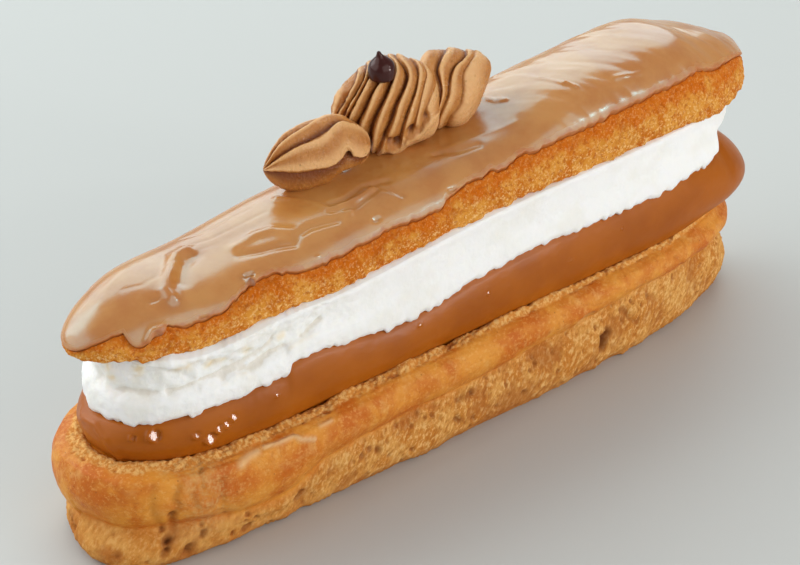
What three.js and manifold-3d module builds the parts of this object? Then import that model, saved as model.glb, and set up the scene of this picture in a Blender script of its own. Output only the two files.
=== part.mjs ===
// Coffee eclair: a split choux bun with a coffee cream and a whipped cream between its halves,
// a coffee icing on the lid, three piped pieces of coffee buttercream and a chocolate drop.
// Millimetres. X runs along the eclair with the broad base end at -X, Y across it, and Z up.
// The origin is on the floor under the middle of the eclair.

import * as THREE from 'three';
import { mergeVertices } from 'three/addons/utils/BufferGeometryUtils.js';
import Module from 'manifold-3d';

const wasm = await Module();
wasm.setup();

// Driving dimensions
const GAP = 0.3;
const COLUMNS_PER_SIDE = 40;
const RIM_HEIGHT = 18.9;
const RIM_INSET = 2.2;
const TROUGH_FLOOR = 14.5;
const ICING_THICKNESS = 1.3;
const BAND_INSET = 0.5;
const DOME_POWER = 2.6;

// Plans: where each layer starts and ends along X, half its width, how blunt its ends are,
// and how much wider it is towards +X
const BASE = { near: -83.2, far: 80.1, half: 19.6, nearPower: 7.0, farPower: 6.0, taper: -0.05 };
const TROUGH = { near: -77.4, far: 77.0, half: 14.9, nearPower: 8.0, farPower: 6.5, taper: 0.02 };
const CREAM = { near: -76.4, far: 80.1, half: 15.0, nearPower: 8.5, farPower: 6.5, taper: 0.02 };
const WHIPPED = { near: -75.4, far: 79.5, half: 15.4, nearPower: 9.5, farPower: 6.0, taper: 0.01 };
const LID = { near: -81.4, far: 84.1, half: 14.7, nearPower: 5.4, farPower: 7.0, taper: 0.09 };

// The rosette of piped buttercream has its own axes through a point over the eclair: run goes to
// the right and away from the near side, away goes square to it, and up. Each piece is a row of
// upright ovals, and values along it are given at shares from 0 to 1 of the way between its ends.
const ROSETTE = { x: -7.6, y: 2.8, yaw: -41, flatness: 0.8 };

// A teardrop whose ridges meet at a raised tip. Each ridge has a line of [share, angle], the
// depth of the groove above it as a share of the radius, and where in the gap that groove lies.
const SHELL = {
  run: [-21.9, -2.7],
  away: [-14, -6],
  middle: [
    [0, 56.2], [0.15, 56.9], [0.36, 57.2], [0.6, 57.9], [0.73, 58.5], [0.8, 58.1], [0.9, 57.5], [1, 57],
  ],
  half: [
    [0, 7.0], [0.12, 7.2], [0.3, 6.8], [0.5, 6.5], [0.6, 6.4], [0.71, 5.5], [0.8, 4.6], [0.9, 3.8], [1, 3.6],
  ],
  ends: { near: 0.5, nearPower: 0.66, far: 0.14, farPower: 0.5 },
  ridges: [
    { line: [[0, -80], [1, -80]], sunk: 0.17, groove: 0.86 },
    { line: [[0, 8], [0.26, 2], [0.47, -3], [0.58, -8], [0.7, -13], [1, -30]], sunk: 0.05, groove: 0.62 },
    {
      line: [
        [0, 16], [0.09, 25], [0.18, 31], [0.33, 39], [0.53, 41], [0.6, 46], [0.67, 61], [0.76, 75], [1, 100],
      ],
      sunk: 0.27,
      groove: 0.17,
    },
    {
      line: [[0, 38], [0.07, 52], [0.13, 63], [0.26, 72], [0.42, 81], [0.48, 93], [0.6, 110], [1, 130]],
      sunk: 0.2,
      groove: 0.3,
    },
    { line: [[0, 75], [0.1, 95], [0.4, 118], [1, 150]], sunk: 0.2, groove: 0.3 },
    { line: [[0, 120], [0.5, 150], [1, 180]], sunk: 0.2, groove: 0.3 },
    { line: [[0, 170], [0.5, 200], [1, 215]], sunk: 0.2, groove: 0.3 },
    { line: [[0, 225], [1, 250]], sunk: 0.15, groove: 0.3 },
  ],
};

// A fat swirl: strands go over it side by side from front to back. Each crest is a line of
// [angle, share], with the angle in degrees up from the front. The lip is where the strands end
// above a flange at the front foot, with pockets [share, angle, width, height, depth] over it.
const SWIRL = {
  run: [-9.9, 10.2],
  away: [-1, 5],
  middle: [[0, 61.45], [0.8, 61.25], [1, 60.05]],
  half: [
    [0, 5.0], [0.15, 6.0], [0.26, 7.5], [0.37, 8.7], [0.49, 9.3], [0.6, 9.1], [0.71, 8.3], [0.81, 7.6],
    [0.9, 7.8], [1, 9.0],
  ],
  ends: { near: 0.25, nearPower: 0.5, far: 0.22, farPower: 0.5 },
  depth: 1.9,
  crests: [
    [[-66, 0.06], [0, 0.115], [25, 0.165], [45, 0.245], [65, 0.31], [98, 0.32], [200, 0.24], [294, 0.06]],
    [[-66, 0.09], [0, 0.15], [25, 0.21], [45, 0.285], [65, 0.355], [98, 0.383], [200, 0.3], [294, 0.09]],
    [
      [-66, 0.18], [-7, 0.247], [18, 0.32], [38, 0.385], [55, 0.473], [72, 0.49], [100, 0.45],
      [200, 0.39], [294, 0.18],
    ],
    [
      [-66, 0.35], [-28, 0.363], [-8, 0.38], [10, 0.427], [29, 0.499], [45, 0.544], [62, 0.578],
      [77, 0.568], [95, 0.515], [200, 0.5], [294, 0.35],
    ],
    [
      [-66, 0.46], [-24, 0.489], [0, 0.556], [18, 0.598], [36, 0.66], [54, 0.695], [68, 0.676],
      [94, 0.59], [200, 0.6], [294, 0.46],
    ],
    [
      [-66, 0.6], [-14, 0.66], [14, 0.723], [31, 0.766], [50, 0.79], [70, 0.796], [90, 0.77],
      [112, 0.71], [200, 0.72], [294, 0.6],
    ],
    [
      [-66, 0.7], [-20, 0.751], [4, 0.786], [23, 0.813], [44, 0.84], [66, 0.865], [85, 0.845],
      [112, 0.8], [200, 0.8], [294, 0.7],
    ],
    [[-66, 0.79], [3, 0.85], [25, 0.893], [48, 0.94], [80, 0.95], [112, 0.92], [200, 0.9], [294, 0.79]],
  ],
  lip: [
    [0.3, -90], [0.36, -80], [0.41, -60], [0.45, -40], [0.49, -30], [0.543, -38], [0.597, -46],
    [0.652, -42], [0.697, -32], [0.742, -26], [0.806, -28], [0.878, -10], [0.94, -2], [1, -2],
  ],
  pockets: [[0.525, -33, 0.035, 9, 1.5], [0.585, -38, 0.03, 8, 1.3], [0.72, -24, 0.045, 8, 1.4]],
};
const TAIL = {
  run: [5.4, 19.9],
  away: [5.9, 14.4],
  middle: [[0, 62], [0.4, 61.2], [0.66, 60.4], [0.84, 61.3], [1, 62.8]],
  half: [[0, 7.5], [0.54, 7.6], [0.66, 7.2], [0.76, 6.4], [0.84, 5.5], [0.92, 4.4], [1, 3.8]],
  ends: { near: 0.2, nearPower: 0.5, far: 0.22, farPower: 0.5 },
  depth: 1.8,
  crests: [
    [
      [-66, 0.24], [-34, 0.27], [-14, 0.29], [5, 0.327], [19, 0.339], [34, 0.313], [50, 0.285],
      [71, 0.328], [93, 0.396], [200, 0.36], [294, 0.24],
    ],
    [
      [-66, 0.27], [-30, 0.31], [-14, 0.345], [-1, 0.391], [11, 0.428], [25, 0.44], [39, 0.466],
      [52, 0.51], [64, 0.6], [80, 0.67], [110, 0.66], [200, 0.56], [294, 0.27],
    ],
    [
      [-66, 0.4], [-28, 0.472], [-6, 0.584], [10, 0.615], [22, 0.62], [33, 0.612], [46, 0.63],
      [58, 0.69], [80, 0.78], [110, 0.78], [200, 0.74], [294, 0.4],
    ],
  ],
  lip: null,
  pockets: [],
};
const DROP = { foot: [-9.2, 1.7, 68.25], radius: 2.75, height: 5.8, bend: 0.5 };

const RADIANS = Math.PI / 180;
const clamp = (t) => Math.min(1, Math.max(0, t));
const smooth = (t) => clamp(t) ** 2 * (3 - 2 * clamp(t));
const mix = (a, b, t) => a + (b - a) * t;
const groove = (x, at, width) => Math.exp(-(((x - at) / width) ** 2));

// A smooth curve through a few [x, value] stations
function along(stations) {
  const last = stations.length - 1;
  const slope = stations.map((station, i) => {
    const a = stations[Math.max(i - 1, 0)];
    const b = stations[Math.min(i + 1, last)];
    return (b[1] - a[1]) / (b[0] - a[0]);
  });
  return (x) => {
    let i = 0;
    while (i < last - 1 && x > stations[i + 1][0]) i += 1;
    const [x0, v0] = stations[i];
    const [x1, v1] = stations[i + 1];
    const span = x1 - x0;
    const t = clamp((x - x0) / span);
    const rise = t * t * (3 - 2 * t);
    const start = t * (1 - t) * (1 - t);
    const stop = t * t * (t - 1);
    return mix(v0, v1, rise) + span * (start * slope[i] + stop * slope[i + 1]);
  };
}

// Heights of the faces between the layers. The near side (-Y) and the far side differ.
const acrossEclair = (near, far) => (x, y) => mix(near(x), far(x), clamp(0.5 + y / 28));
const rimHeight = (x) => RIM_HEIGHT - 0.9 * smooth((-20 - x) / 35) + 0.8 * smooth((x - 53) / 12);
const creamTop = acrossEclair(
  along([
    [-80, 25.6], [-70, 27.0], [-60, 27.9], [-50, 28.8], [-38, 30.4], [-20, 28.6],
    [-2, 30.9], [18, 32.1], [43, 31.4], [68, 32.4], [80, 31.4],
  ]),
  (x) => 30.4 + 0.028 * x + 0.7 * Math.sin(x / 9) - 3.2 * smooth((-58 - x) / 20)
    - 1.2 * smooth((x - 66) / 12),
);
const lidBottom = acrossEclair(
  along([
    [-80, 39.6], [-71, 38.3], [-62, 38.3], [-45, 39.9], [-32, 39.9], [-12, 41.6],
    [9, 42.9], [40, 43.2], [60, 43.2], [66, 42.4], [74, 43.4], [83, 44.0],
  ]),
  (x) => 41.4 + 0.022 * x + 0.5 * Math.sin(x / 11 + 2),
);
const domeHeight = along([
  [-82, 5.0], [-67, 9.5], [-52, 9.1], [-32, 11.4], [-2, 11.4], [13, 12.1], [20, 14.0],
  [27, 15.7], [43, 16.3], [58, 16.3], [70, 13.0], [83, 7.1],
]);
// How far up the lid's side the icing ends
const icingEdge = acrossEclair(
  along([
    [-81.4, 0.9], [-79.5, 2.6], [-77, 4.3], [-73, 3.0], [-69, 5.2], [-64, 4.6], [-58, 4.9], [-50, 6.8],
    [-41, 5.8], [-20, 6.1], [-9, 5.2], [-5, 6.9], [8, 7.2], [18, 8.2], [31, 8.9], [49, 9.7], [61, 10.1],
    [68, 9.2], [75, 7.6], [81, 5.2],
  ]),
  (x) => (6.4 + 0.02 * x + 0.9 * Math.sin(x / 6)) * smooth((x + 85) / 12),
);

function widthAt(plan, s) {
  const power = s < 0 ? plan.nearPower : plan.farPower;
  return Math.sqrt(Math.max(0, 1 - Math.abs(s) ** power)) * (1 + plan.taper * s);
}

// Columns all the way round a plan, evenly spaced along its edge: s runs from -1 to 1 along X,
// and side is -1 on the near side and 1 on the far side
function columnsRound(plan) {
  const fine = 2000;
  const halfLength = (plan.far - plan.near) / 2;
  const sAt = (i) => Math.sin((i / fine - 0.5) * Math.PI);
  const run = [0];
  for (let i = 1; i <= fine; i += 1) {
    const dx = halfLength * (sAt(i) - sAt(i - 1));
    const dy = plan.half * (widthAt(plan, sAt(i)) - widthAt(plan, sAt(i - 1)));
    run.push(run[i - 1] + Math.hypot(dx, dy));
  }
  const places = [-1];
  let i = 0;
  for (let k = 1; k < COLUMNS_PER_SIDE; k += 1) {
    const want = (run[fine] * k) / COLUMNS_PER_SIDE;
    while (run[i + 1] < want) i += 1;
    places.push(sAt(i + (want - run[i]) / (run[i + 1] - run[i])));
  }
  places.push(1);
  const near = places.map((s) => ({ s, side: -1 }));
  const far = places.slice(1, -1).reverse().map((s) => ({ s, side: 1 }));
  return [...near, ...far];
}

// One ring of points: the plan grown outward by grow, at the height that z gives
function ring(plan, columns, grow, z) {
  const halfLength = (plan.far - plan.near) / 2;
  const middle = (plan.far + plan.near) / 2;
  return columns.map((column) => {
    const out = typeof grow === 'function' ? grow(column) : grow;
    const x = middle + (halfLength + out) * column.s;
    const y = column.side * Math.max(0, plan.half + out) * widthAt(plan, column.s);
    return [x, y, typeof z === 'function' ? z(x, y, column) : z];
  });
}

// The ring drawn in to the line down the middle of the plan
const spine = (plan, columns, z) => ring(plan, columns, -plan.half, z);

// A closed solid from rings of points, each joined to the next. The first and the last ring
// are points or doubled lines, so that nothing stays open.
function loft(rings) {
  const around = rings[0].length;
  const positions = rings.flat(2);
  const faces = [];
  for (let j = 0; j < rings.length - 1; j += 1) {
    for (let i = 0; i < around; i += 1) {
      const a = j * around + i;
      const b = j * around + ((i + 1) % around);
      faces.push([a, b, b + around], [a, b + around, a + around]);
    }
  }
  const geometry = new THREE.BufferGeometry();
  geometry.setAttribute('position', new THREE.Float32BufferAttribute(positions, 3));
  geometry.setIndex(faces.flat());
  const merged = mergeVertices(geometry, 1e-4);
  const index = merged.getIndex().array;
  const kept = [];
  for (let k = 0; k < index.length; k += 3) {
    const [a, b, c] = [index[k], index[k + 1], index[k + 2]];
    if (a !== b && b !== c && c !== a) kept.push(a, b, c);
  }
  merged.setIndex(enclosedVolume(merged, kept) < 0 ? kept.reverse() : kept);
  return merged;
}

function enclosedVolume(geometry, index) {
  const corner = [new THREE.Vector3(), new THREE.Vector3(), new THREE.Vector3()];
  const position = geometry.getAttribute('position');
  let volume = 0;
  for (let k = 0; k < index.length; k += 3) {
    corner.forEach((point, n) => point.fromBufferAttribute(position, index[k + n]));
    volume += corner[0].dot(corner[1].clone().cross(corner[2])) / 6;
  }
  return volume;
}

function toSolid(geometry) {
  return new wasm.Manifold(new wasm.Mesh({
    numProp: 3,
    vertProperties: new Float32Array(geometry.getAttribute('position').array),
    triVerts: new Uint32Array(geometry.getIndex().array),
  }));
}

// The largest body of a cut solid, so that no scrap is left beside it
function toGeometry(solid) {
  const bodies = solid.decompose();
  const main = bodies.reduce((best, body) => (body.volume() > best.volume() ? body : best));
  const mesh = main.getMesh();
  const geometry = new THREE.BufferGeometry();
  geometry.setAttribute('position', new THREE.Float32BufferAttribute(mesh.vertProperties, 3));
  geometry.setIndex(new THREE.Uint32BufferAttribute(mesh.triVerts, 1));
  return geometry;
}

// The lower half of the bun: a rough foot, a crease at the waist, a roll that swells out
// above it, and a cut rim round the trough that the coffee cream fills
function chouxBase() {
  const columns = columnsRound(BASE);
  const lumps = (column, z) => 0.35 * Math.sin(column.s * 31 + z * 0.4 + column.side)
    + 0.25 * Math.sin(column.s * 57 - z * 0.7 + 2 * column.side);
  const seam = (column) => (column.side < 0 ? 1.0 * groove(column.s, -0.72, 0.02) : 0);
  const footInset = along([
    [-1, -1.2], [-0.93, -1.0], [-0.87, -0.3], [-0.7, 1.4], [-0.55, 1.4], [-0.4, 0.2], [-0.1, -0.5],
    [0.17, -1.3], [0.45, -0.8], [0.75, 0.2], [0.88, 0.1], [0.96, -0.6], [1, -1.0],
  ]);
  const footDraw = (column, z) => -footInset(column.s) * (1 - smooth((z - 4) / 5));
  const waist = along([
    [-1, 7.2], [-0.86, 7.4], [-0.765, 6.3], [-0.69, 5.8], [-0.59, 5.4], [-0.54, 6.8], [-0.48, 9.0],
    [-0.31, 10.1], [0.02, 10.5], [0.2, 11.5], [0.39, 12.2], [0.57, 13.0], [0.75, 12.8], [1, 12.6],
  ]);
  const sag = (column) => (column.side > 0 ? 1.8 * groove(column.s, -0.94, 0.07) : 0);
  const lift = (column, z) => (waist(column.s) - sag(column) - 9.4)
    * (z < 9.4 ? z / 9.4 : (RIM_HEIGHT - z) / 9.5);
  // The near end of the foot is longer on the near side than on the far one
  const skewed = (points, z) => points.map(([x, y, height], i) => {
    const end = smooth((-columns[i].s - 0.72) / 0.28) * (1 - smooth((z - 5) / 4));
    return [x + 0.25 * end * (y + 3), y, height];
  });
  const wall = (inset, z) => skewed(ring(BASE, columns,
    (column) => -inset + footDraw(column, z) + lumps(column, z) - seam(column),
    (x, y, column) => z + lift(column, z)), z);
  const profile = [
    [1.9, 0.5], [0.9, 2.2], [0.8, 4.8], [1.3, 7.2], [2.3, 9.4], [0.9, 11.2], [0.0, 13.6], [0.1, 16.0],
    [0.9, 17.8],
  ];
  const floorEdge = (column) => -2.8 + footDraw(column, 0);
  return loft([
    spine(BASE, columns, 0),
    skewed(ring(BASE, columns, floorEdge, 0), 0),
    ...profile.map(([inset, z]) => wall(inset, z)),
    skewed(ring(BASE, columns, -RIM_INSET, rimHeight), RIM_HEIGHT),
    ring(TROUGH, columns, 0, (x) => rimHeight(x) + 0.4),
    ring(TROUGH, columns, -0.8, TROUGH_FLOOR),
    spine(TROUGH, columns, TROUGH_FLOOR),
  ]);
}

// The coffee cream: a rope that sits in the trough and swells out over the rim
function coffeeCream() {
  const columns = columnsRound(CREAM);
  const seat = (x) => rimHeight(x) + 0.4 + GAP;
  const levels = [0.12, 0.32, 0.52, 0.72, 0.9];
  const bulge = (column, t) => 1.5 * Math.sin(Math.PI * t) ** 0.8
    + smooth((column.s - 0.7) / 0.3) * (3.2 * Math.sin(Math.PI * t ** 0.6) - 2.4 * t * t);
  return loft([
    spine(TROUGH, columns, TROUGH_FLOOR + GAP),
    ring(TROUGH, columns, -0.8 - GAP, TROUGH_FLOOR + GAP),
    ring(TROUGH, columns, -GAP, seat),
    ...levels.map((t) => ring(CREAM, columns, (column) => bulge(column, t),
      (x, y) => mix(seat(x), creamTop(x, y) - GAP / 2, t))),
    ring(CREAM, columns, (column) => -0.7 + bulge(column, 1), (x, y) => creamTop(x, y) - GAP / 2),
    spine(CREAM, columns, (x, y) => creamTop(x, y) - GAP / 2),
  ]);
}

// The whipped cream: its lower lip hangs out and a crease parts it from the upper layer
function whippedCream() {
  const columns = columnsRound(WHIPPED);
  const frill = (column) => 0.35 * Math.sin(column.s * 47 + column.side) + 0.25 * Math.sin(column.s * 83);
  const profile = [[0.5, 0.04], [-0.3, 0.18], [-0.4, 0.36], [1.0, 0.5], [0.9, 0.72], [0.7, 0.96]];
  const level = (t) => (x, y) => mix(creamTop(x, y) + GAP / 2, lidBottom(x, y) - GAP / 2, t);
  return loft([
    spine(WHIPPED, columns, level(0)),
    ring(WHIPPED, columns, (column) => -0.8 + frill(column), level(0)),
    ...profile.map(([inset, t]) => ring(WHIPPED, columns, (column) => frill(column) - inset, level(t))),
    ring(WHIPPED, columns, -1.6, level(1)),
    spine(WHIPPED, columns, level(1)),
  ]);
}

// A ring on the lid's rounded surface, sunk by depth under the icing's outer face. rise runs
// from 0 at the lower edge to 1 along the crown, and its far end is blunter than the near one.
function domeRing(columns, rise, depth) {
  const angle = (rise * Math.PI) / 2;
  const narrow = rise === 1 ? 0 : Math.cos(angle) ** (2 / DOME_POWER);
  const height = Math.sin(angle) ** (2 / DOME_POWER);
  const halfLength = (LID.far - LID.near) / 2;
  const middle = (LID.far + LID.near) / 2;
  return columns.map(({ s, side }) => {
    const draw = 1 - 0.1 * smooth(-s / 0.6) - 0.85 * smooth((s - 0.2) / 0.6);
    const x = middle + (halfLength - LID.half * (1 - narrow) * draw - depth) * s;
    const y = side * (LID.half - depth) * narrow * widthAt(LID, s);
    return [x, y, lidBottom(x, y) + (domeHeight(x) - depth) * height];
  });
}

// The rise at which the icing ends in a column
function riseAtIcingEdge(column) {
  const x = (LID.far + LID.near) / 2 + ((LID.far - LID.near) / 2) * column.s;
  const share = clamp(icingEdge(x, column.side * LID.half) / domeHeight(x));
  return Math.asin(share ** (DOME_POWER / 2)) / (Math.PI / 2);
}

// A dome ring whose rise differs from column to column
function slantedDomeRing(columns, riseOf, depth) {
  return columns.map((column) => domeRing([column], riseOf(column), depth)[0]);
}

// The upper half of the bun: its crumb shows as a band under the icing
function chouxLid() {
  const columns = columnsRound(LID);
  const edge = columns.map(riseAtIcingEdge);
  const riseOf = (share) => (column) => edge[columns.indexOf(column)] * share;
  const crownOf = (share) => (column) => mix(edge[columns.indexOf(column)], 1, share);
  const core = ICING_THICKNESS + GAP;
  const crags = (points, size) => points.map(([x, y, z], i) => [
    x, y * (1 + size * 0.02 * Math.sin(i * 2.3)), z + size * 0.3 * Math.sin(i * 1.7),
  ]);
  return loft([
    spine(LID, columns, (x, y) => lidBottom(x, y) + GAP / 2),
    ring(LID, columns, (column) => -2.0 + 1.4 * smooth((-column.s - 0.9) / 0.1),
      (x, y) => lidBottom(x, y) + GAP / 2),
    crags(slantedDomeRing(columns, riseOf(0.12), BAND_INSET), 0),
    crags(slantedDomeRing(columns, riseOf(0.4), BAND_INSET), 1),
    crags(slantedDomeRing(columns, riseOf(0.7), BAND_INSET), 1),
    slantedDomeRing(columns, riseOf(0.93), BAND_INSET),
    slantedDomeRing(columns, riseOf(1.0), core),
    ...[0.2, 0.42, 0.64, 0.84].map((share) => slantedDomeRing(columns, crownOf(share), core)),
    domeRing(columns, 1, core),
  ]);
}

// The icing: a thin skin over the crown with a soft wavy lower edge
function coffeeIcing() {
  const columns = columnsRound(LID);
  const edge = columns.map(riseAtIcingEdge);
  const riseOf = (share) => (column) => mix(edge[columns.indexOf(column)], 1, share);
  const outer = [0.05, 0.18, 0.34, 0.5, 0.68, 0.84];
  return loft([
    domeRing(columns, 1, 0),
    ...outer.slice().reverse().map((share) => slantedDomeRing(columns, riseOf(share), 0)),
    slantedDomeRing(columns, riseOf(0.0), 0.5),
    slantedDomeRing(columns, riseOf(0.02), ICING_THICKNESS),
    ...[0.2, 0.42, 0.64, 0.84].map((share) => slantedDomeRing(columns, riseOf(share), ICING_THICKNESS)),
    domeRing(columns, 1, ICING_THICKNESS),
  ]);
}

// Everything under the icing's outer face, grown by the gap: it shapes what rests on the lid
function lidSpace() {
  const columns = columnsRound(LID);
  const edge = columns.map(riseAtIcingEdge);
  const riseOf = (share) => (column) => mix(edge[columns.indexOf(column)], 1, share);
  return toSolid(loft([
    spine(LID, columns, lidBottom),
    ring(LID, columns, GAP, lidBottom),
    ...[0.05, 0.18, 0.34, 0.5, 0.68, 0.84].map((share) => slantedDomeRing(columns, riseOf(share), -GAP)),
    domeRing(columns, 1, -GAP),
  ]));
}

// A point on a piece of the rosette: at a share t along it and an angle in degrees up from its
// front, raised by lift over its oval
function ovalPoint(piece, t, degrees, lift, grow) {
  const { near, nearPower, far, farPower } = piece.ends;
  const a = clamp(t / near);
  const b = clamp((1 - t) / far);
  const size = (a * (2 - a)) ** nearPower * (b * (2 - b)) ** farPower;
  const raised = lift * Math.min(1, 1.7 * size) + (t > 0 && t < 1 ? grow : 0);
  const half = along(piece.half)(t) * size;
  const run = mix(piece.run[0], piece.run[1], t);
  const away = mix(piece.away[0], piece.away[1], t)
    - (ROSETTE.flatness * half + raised) * Math.cos(degrees * RADIANS);
  const yaw = ROSETTE.yaw * RADIANS;
  return [
    ROSETTE.x + run * Math.cos(yaw) - away * Math.sin(yaw),
    ROSETTE.y + run * Math.sin(yaw) + away * Math.cos(yaw),
    along(piece.middle)(t) + (half + raised) * Math.sin(degrees * RADIANS),
  ];
}

function pipedShell(piece, grow = 0) {
  const steps = 14;
  const rings = [];
  for (let k = 0; k <= steps; k += 1) {
    const t = (k / steps) ** 1.15;
    const angles = piece.ridges.map((ridge) => along(ridge.line)(t));
    rings.push(piece.ridges.flatMap((ridge, n) => {
      const next = n + 1 < angles.length ? angles[n + 1] : angles[0] + 360;
      const between = mix(ridge.groove, n === 0 ? 0 : 1, 0.45);
      const places = [[0, 0], [ridge.groove, ridge.sunk], [between, 0.42 * ridge.sunk]];
      return places.sort((a, b) => a[0] - b[0]).map(([share, sunk]) => (
        ovalPoint(piece, t, mix(angles[n], next, share), -sunk * along(piece.half)(t), grow)));
    }));
  }
  return toSolid(loft(rings));
}

// Height over one strand, from 0 in the groove at its left to 1, and down again to the right
const strandHeight = (share) => (1 - (1 - clamp(share / 0.26)) ** 2.4)
  * (1 - clamp((share - 0.22) / 0.78) ** 2.2);

function pipedStrands(piece, grow = 0) {
  const angles = [
    -66, -52, -40, -29, -18, -6, 6, 20, 36, 52, 68, 84, 100, 118, 140, 165, 190, 216, 243, 269,
  ];
  const lines = [() => 0, ...piece.crests.map(along), () => 1];
  const length = piece.run[1] - piece.run[0];
  const rings = [];
  const addRing = (k, share) => rings.push(angles.map((angle) => {
    const from = lines[k](angle);
    const to = lines[k + 1](angle);
    const t = mix(from, to, share);
    const room = Math.min(1, Math.max(0.25, ((to - from) * length) / 2.6));
    const top = 1 - 0.7 * groove(angle, 104, 28);
    let lift = piece.depth * (strandHeight(share) - 0.75) * room * top;
    if (piece.lip) {
      const gap = angle - along(piece.lip)(t);
      const lower = (1 - smooth((gap + 3) / 8)) * (1 - smooth((angle - 200) / 40));
      lift = mix(lift, 0.35 + 0.5 * groove(gap, -9, 9), lower);
    }
    piece.pockets.forEach(([where, turn, wide, tall, deep]) => {
      lift -= deep * groove(t, where, wide) * groove(angle, turn, tall);
    });
    return ovalPoint(piece, t, angle, lift, grow);
  }));
  for (let k = 0; k < lines.length - 1; k += 1) {
    const last = k === lines.length - 2;
    [0, 0.2, 0.55, 0.88].forEach((f) => {
      if (k === 0) addRing(k, f * f);
      else addRing(k, last ? 1 - (1 - f) ** 2 : f);
    });
  }
  addRing(lines.length - 2, 1);
  return toSolid(loft(rings));
}

// A drop of chocolate with a drawn-out tip that bends over
function chocolateDrop(grow = 0) {
  const around = 16;
  const profile = [
    [0, 0], [0.8, 0], [0.96, 0.1], [1, 0.24], [0.93, 0.44], [0.68, 0.58], [0.36, 0.7], [0.19, 0.84],
    [0.12, 0.97], [0, 1],
  ];
  const rings = profile.map(([radius, height]) => {
    const points = [];
    for (let i = 0; i < around; i += 1) {
      const angle = (2 * Math.PI * i) / around;
      const r = radius === 0 ? 0 : radius * DROP.radius + grow;
      const lean = -DROP.bend * smooth((height - 0.6) / 0.4);
      points.push([
        DROP.foot[0] + r * Math.cos(angle) + lean,
        DROP.foot[1] + r * Math.sin(angle),
        DROP.foot[2] + height * DROP.height + (height > 0.5 ? grow : -grow),
      ]);
    }
    return points;
  });
  return toSolid(loft(rings));
}

const lid = lidSpace();
const shell = pipedShell(SHELL).subtract(lid);
const swirl = pipedStrands(SWIRL).subtract(lid)
  .subtract(pipedShell(SHELL, GAP))
  .subtract(chocolateDrop(GAP));
const swirlSpace = pipedStrands(SWIRL, GAP);
const towardsTail = [GAP * Math.cos(ROSETTE.yaw * RADIANS), GAP * Math.sin(ROSETTE.yaw * RADIANS), 0];
const tail = pipedStrands(TAIL).subtract(lid)
  .subtract(swirlSpace)
  .subtract(swirlSpace.translate(towardsTail));

const finishes = {
  crust: { color: 0xd2914f, roughness: 0.8 },
  coffee: { color: 0xa8622a, roughness: 0.25 },
  white: { color: 0xf1efea, roughness: 0.6 },
  icing: { color: 0xbe8450, roughness: 0.2 },
  buttercream: { color: 0xc6905c, roughness: 0.45 },
  chocolate: { color: 0x35191a, roughness: 0.2 },
};

const eclair = new THREE.Group();
function add(name, geometry, finish) {
  const material = new THREE.MeshStandardMaterial({ ...finishes[finish], metalness: 0 });
  const mesh = new THREE.Mesh(geometry, material);
  mesh.name = name;
  eclair.add(mesh);
}

add('choux_base', chouxBase(), 'crust');
add('coffee_cream', coffeeCream(), 'coffee');
add('whipped_cream', whippedCream(), 'white');
add('choux_lid', chouxLid(), 'crust');
add('coffee_icing', coffeeIcing(), 'icing');
add('buttercream_shell', toGeometry(shell), 'buttercream');
add('buttercream_swirl', toGeometry(swirl), 'buttercream');
add('buttercream_tail', toGeometry(tail), 'buttercream');
add('chocolate_drop', toGeometry(chocolateDrop()), 'chocolate');

export default eclair;
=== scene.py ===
"""Coffee eclair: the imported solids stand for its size, and the pieces below show its real surface.

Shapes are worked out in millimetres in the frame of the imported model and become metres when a
mesh is made. X runs along the eclair, Y across it (the near side is -Y) and Z up.
"""

import math
from collections import namedtuple

import bpy
import numpy as np
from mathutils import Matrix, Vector


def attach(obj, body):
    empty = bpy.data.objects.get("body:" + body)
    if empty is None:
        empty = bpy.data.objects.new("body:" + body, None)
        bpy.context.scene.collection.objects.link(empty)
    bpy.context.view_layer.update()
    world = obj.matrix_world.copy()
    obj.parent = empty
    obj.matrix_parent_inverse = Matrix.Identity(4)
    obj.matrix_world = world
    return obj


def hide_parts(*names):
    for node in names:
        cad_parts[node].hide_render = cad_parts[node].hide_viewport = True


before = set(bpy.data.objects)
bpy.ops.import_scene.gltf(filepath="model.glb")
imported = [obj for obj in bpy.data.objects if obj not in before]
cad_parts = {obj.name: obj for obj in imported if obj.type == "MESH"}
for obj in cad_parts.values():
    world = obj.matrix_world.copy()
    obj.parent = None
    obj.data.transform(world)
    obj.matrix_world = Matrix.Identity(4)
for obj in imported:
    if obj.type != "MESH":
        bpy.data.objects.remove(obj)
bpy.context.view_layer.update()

# ---- camera

AZIMUTH, ELEVATION, DISTANCE = math.radians(-41.3), math.radians(30), 450
TARGET = (-6.5, 0, 25.5)
LENS, SENSOR = 106.65, 36
# The direction from the target to the camera
BACK = Vector((
    math.sin(AZIMUTH) * math.cos(ELEVATION),
    -math.cos(AZIMUTH) * math.cos(ELEVATION),
    math.sin(ELEVATION),
))


def add(name, data):
    """Puts a new object with this data into the scene."""
    item = bpy.data.objects.new(name, data)
    bpy.context.scene.collection.objects.link(item)
    return item


def face(item, place, way):
    """Puts a camera or lamp at a place in millimetres and turns it to look along way."""
    item.location = Vector(place) / 1000
    item.rotation_mode = "QUATERNION"
    item.rotation_quaternion = way.to_track_quat("-Z", "Y")


def add_camera():
    data = bpy.data.cameras.new("view")
    data.lens, data.sensor_width = LENS, SENSOR
    data.clip_start, data.clip_end = 0.01, 20
    camera = add("view", data)
    face(camera, Vector(TARGET) + BACK * DISTANCE, -BACK)
    bpy.context.scene.camera = camera


add_camera()

# ---- sizes

GAP = 0.3
# The cut rim of the lower half, how much higher it is at the trough, and the waist above the foot
RIM_HEIGHT, INNER_RIM, WAIST = 18.9, 0.4, 9.4
# Where the wall starts to turn in towards the rim
RIM_START = 17.8
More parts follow.
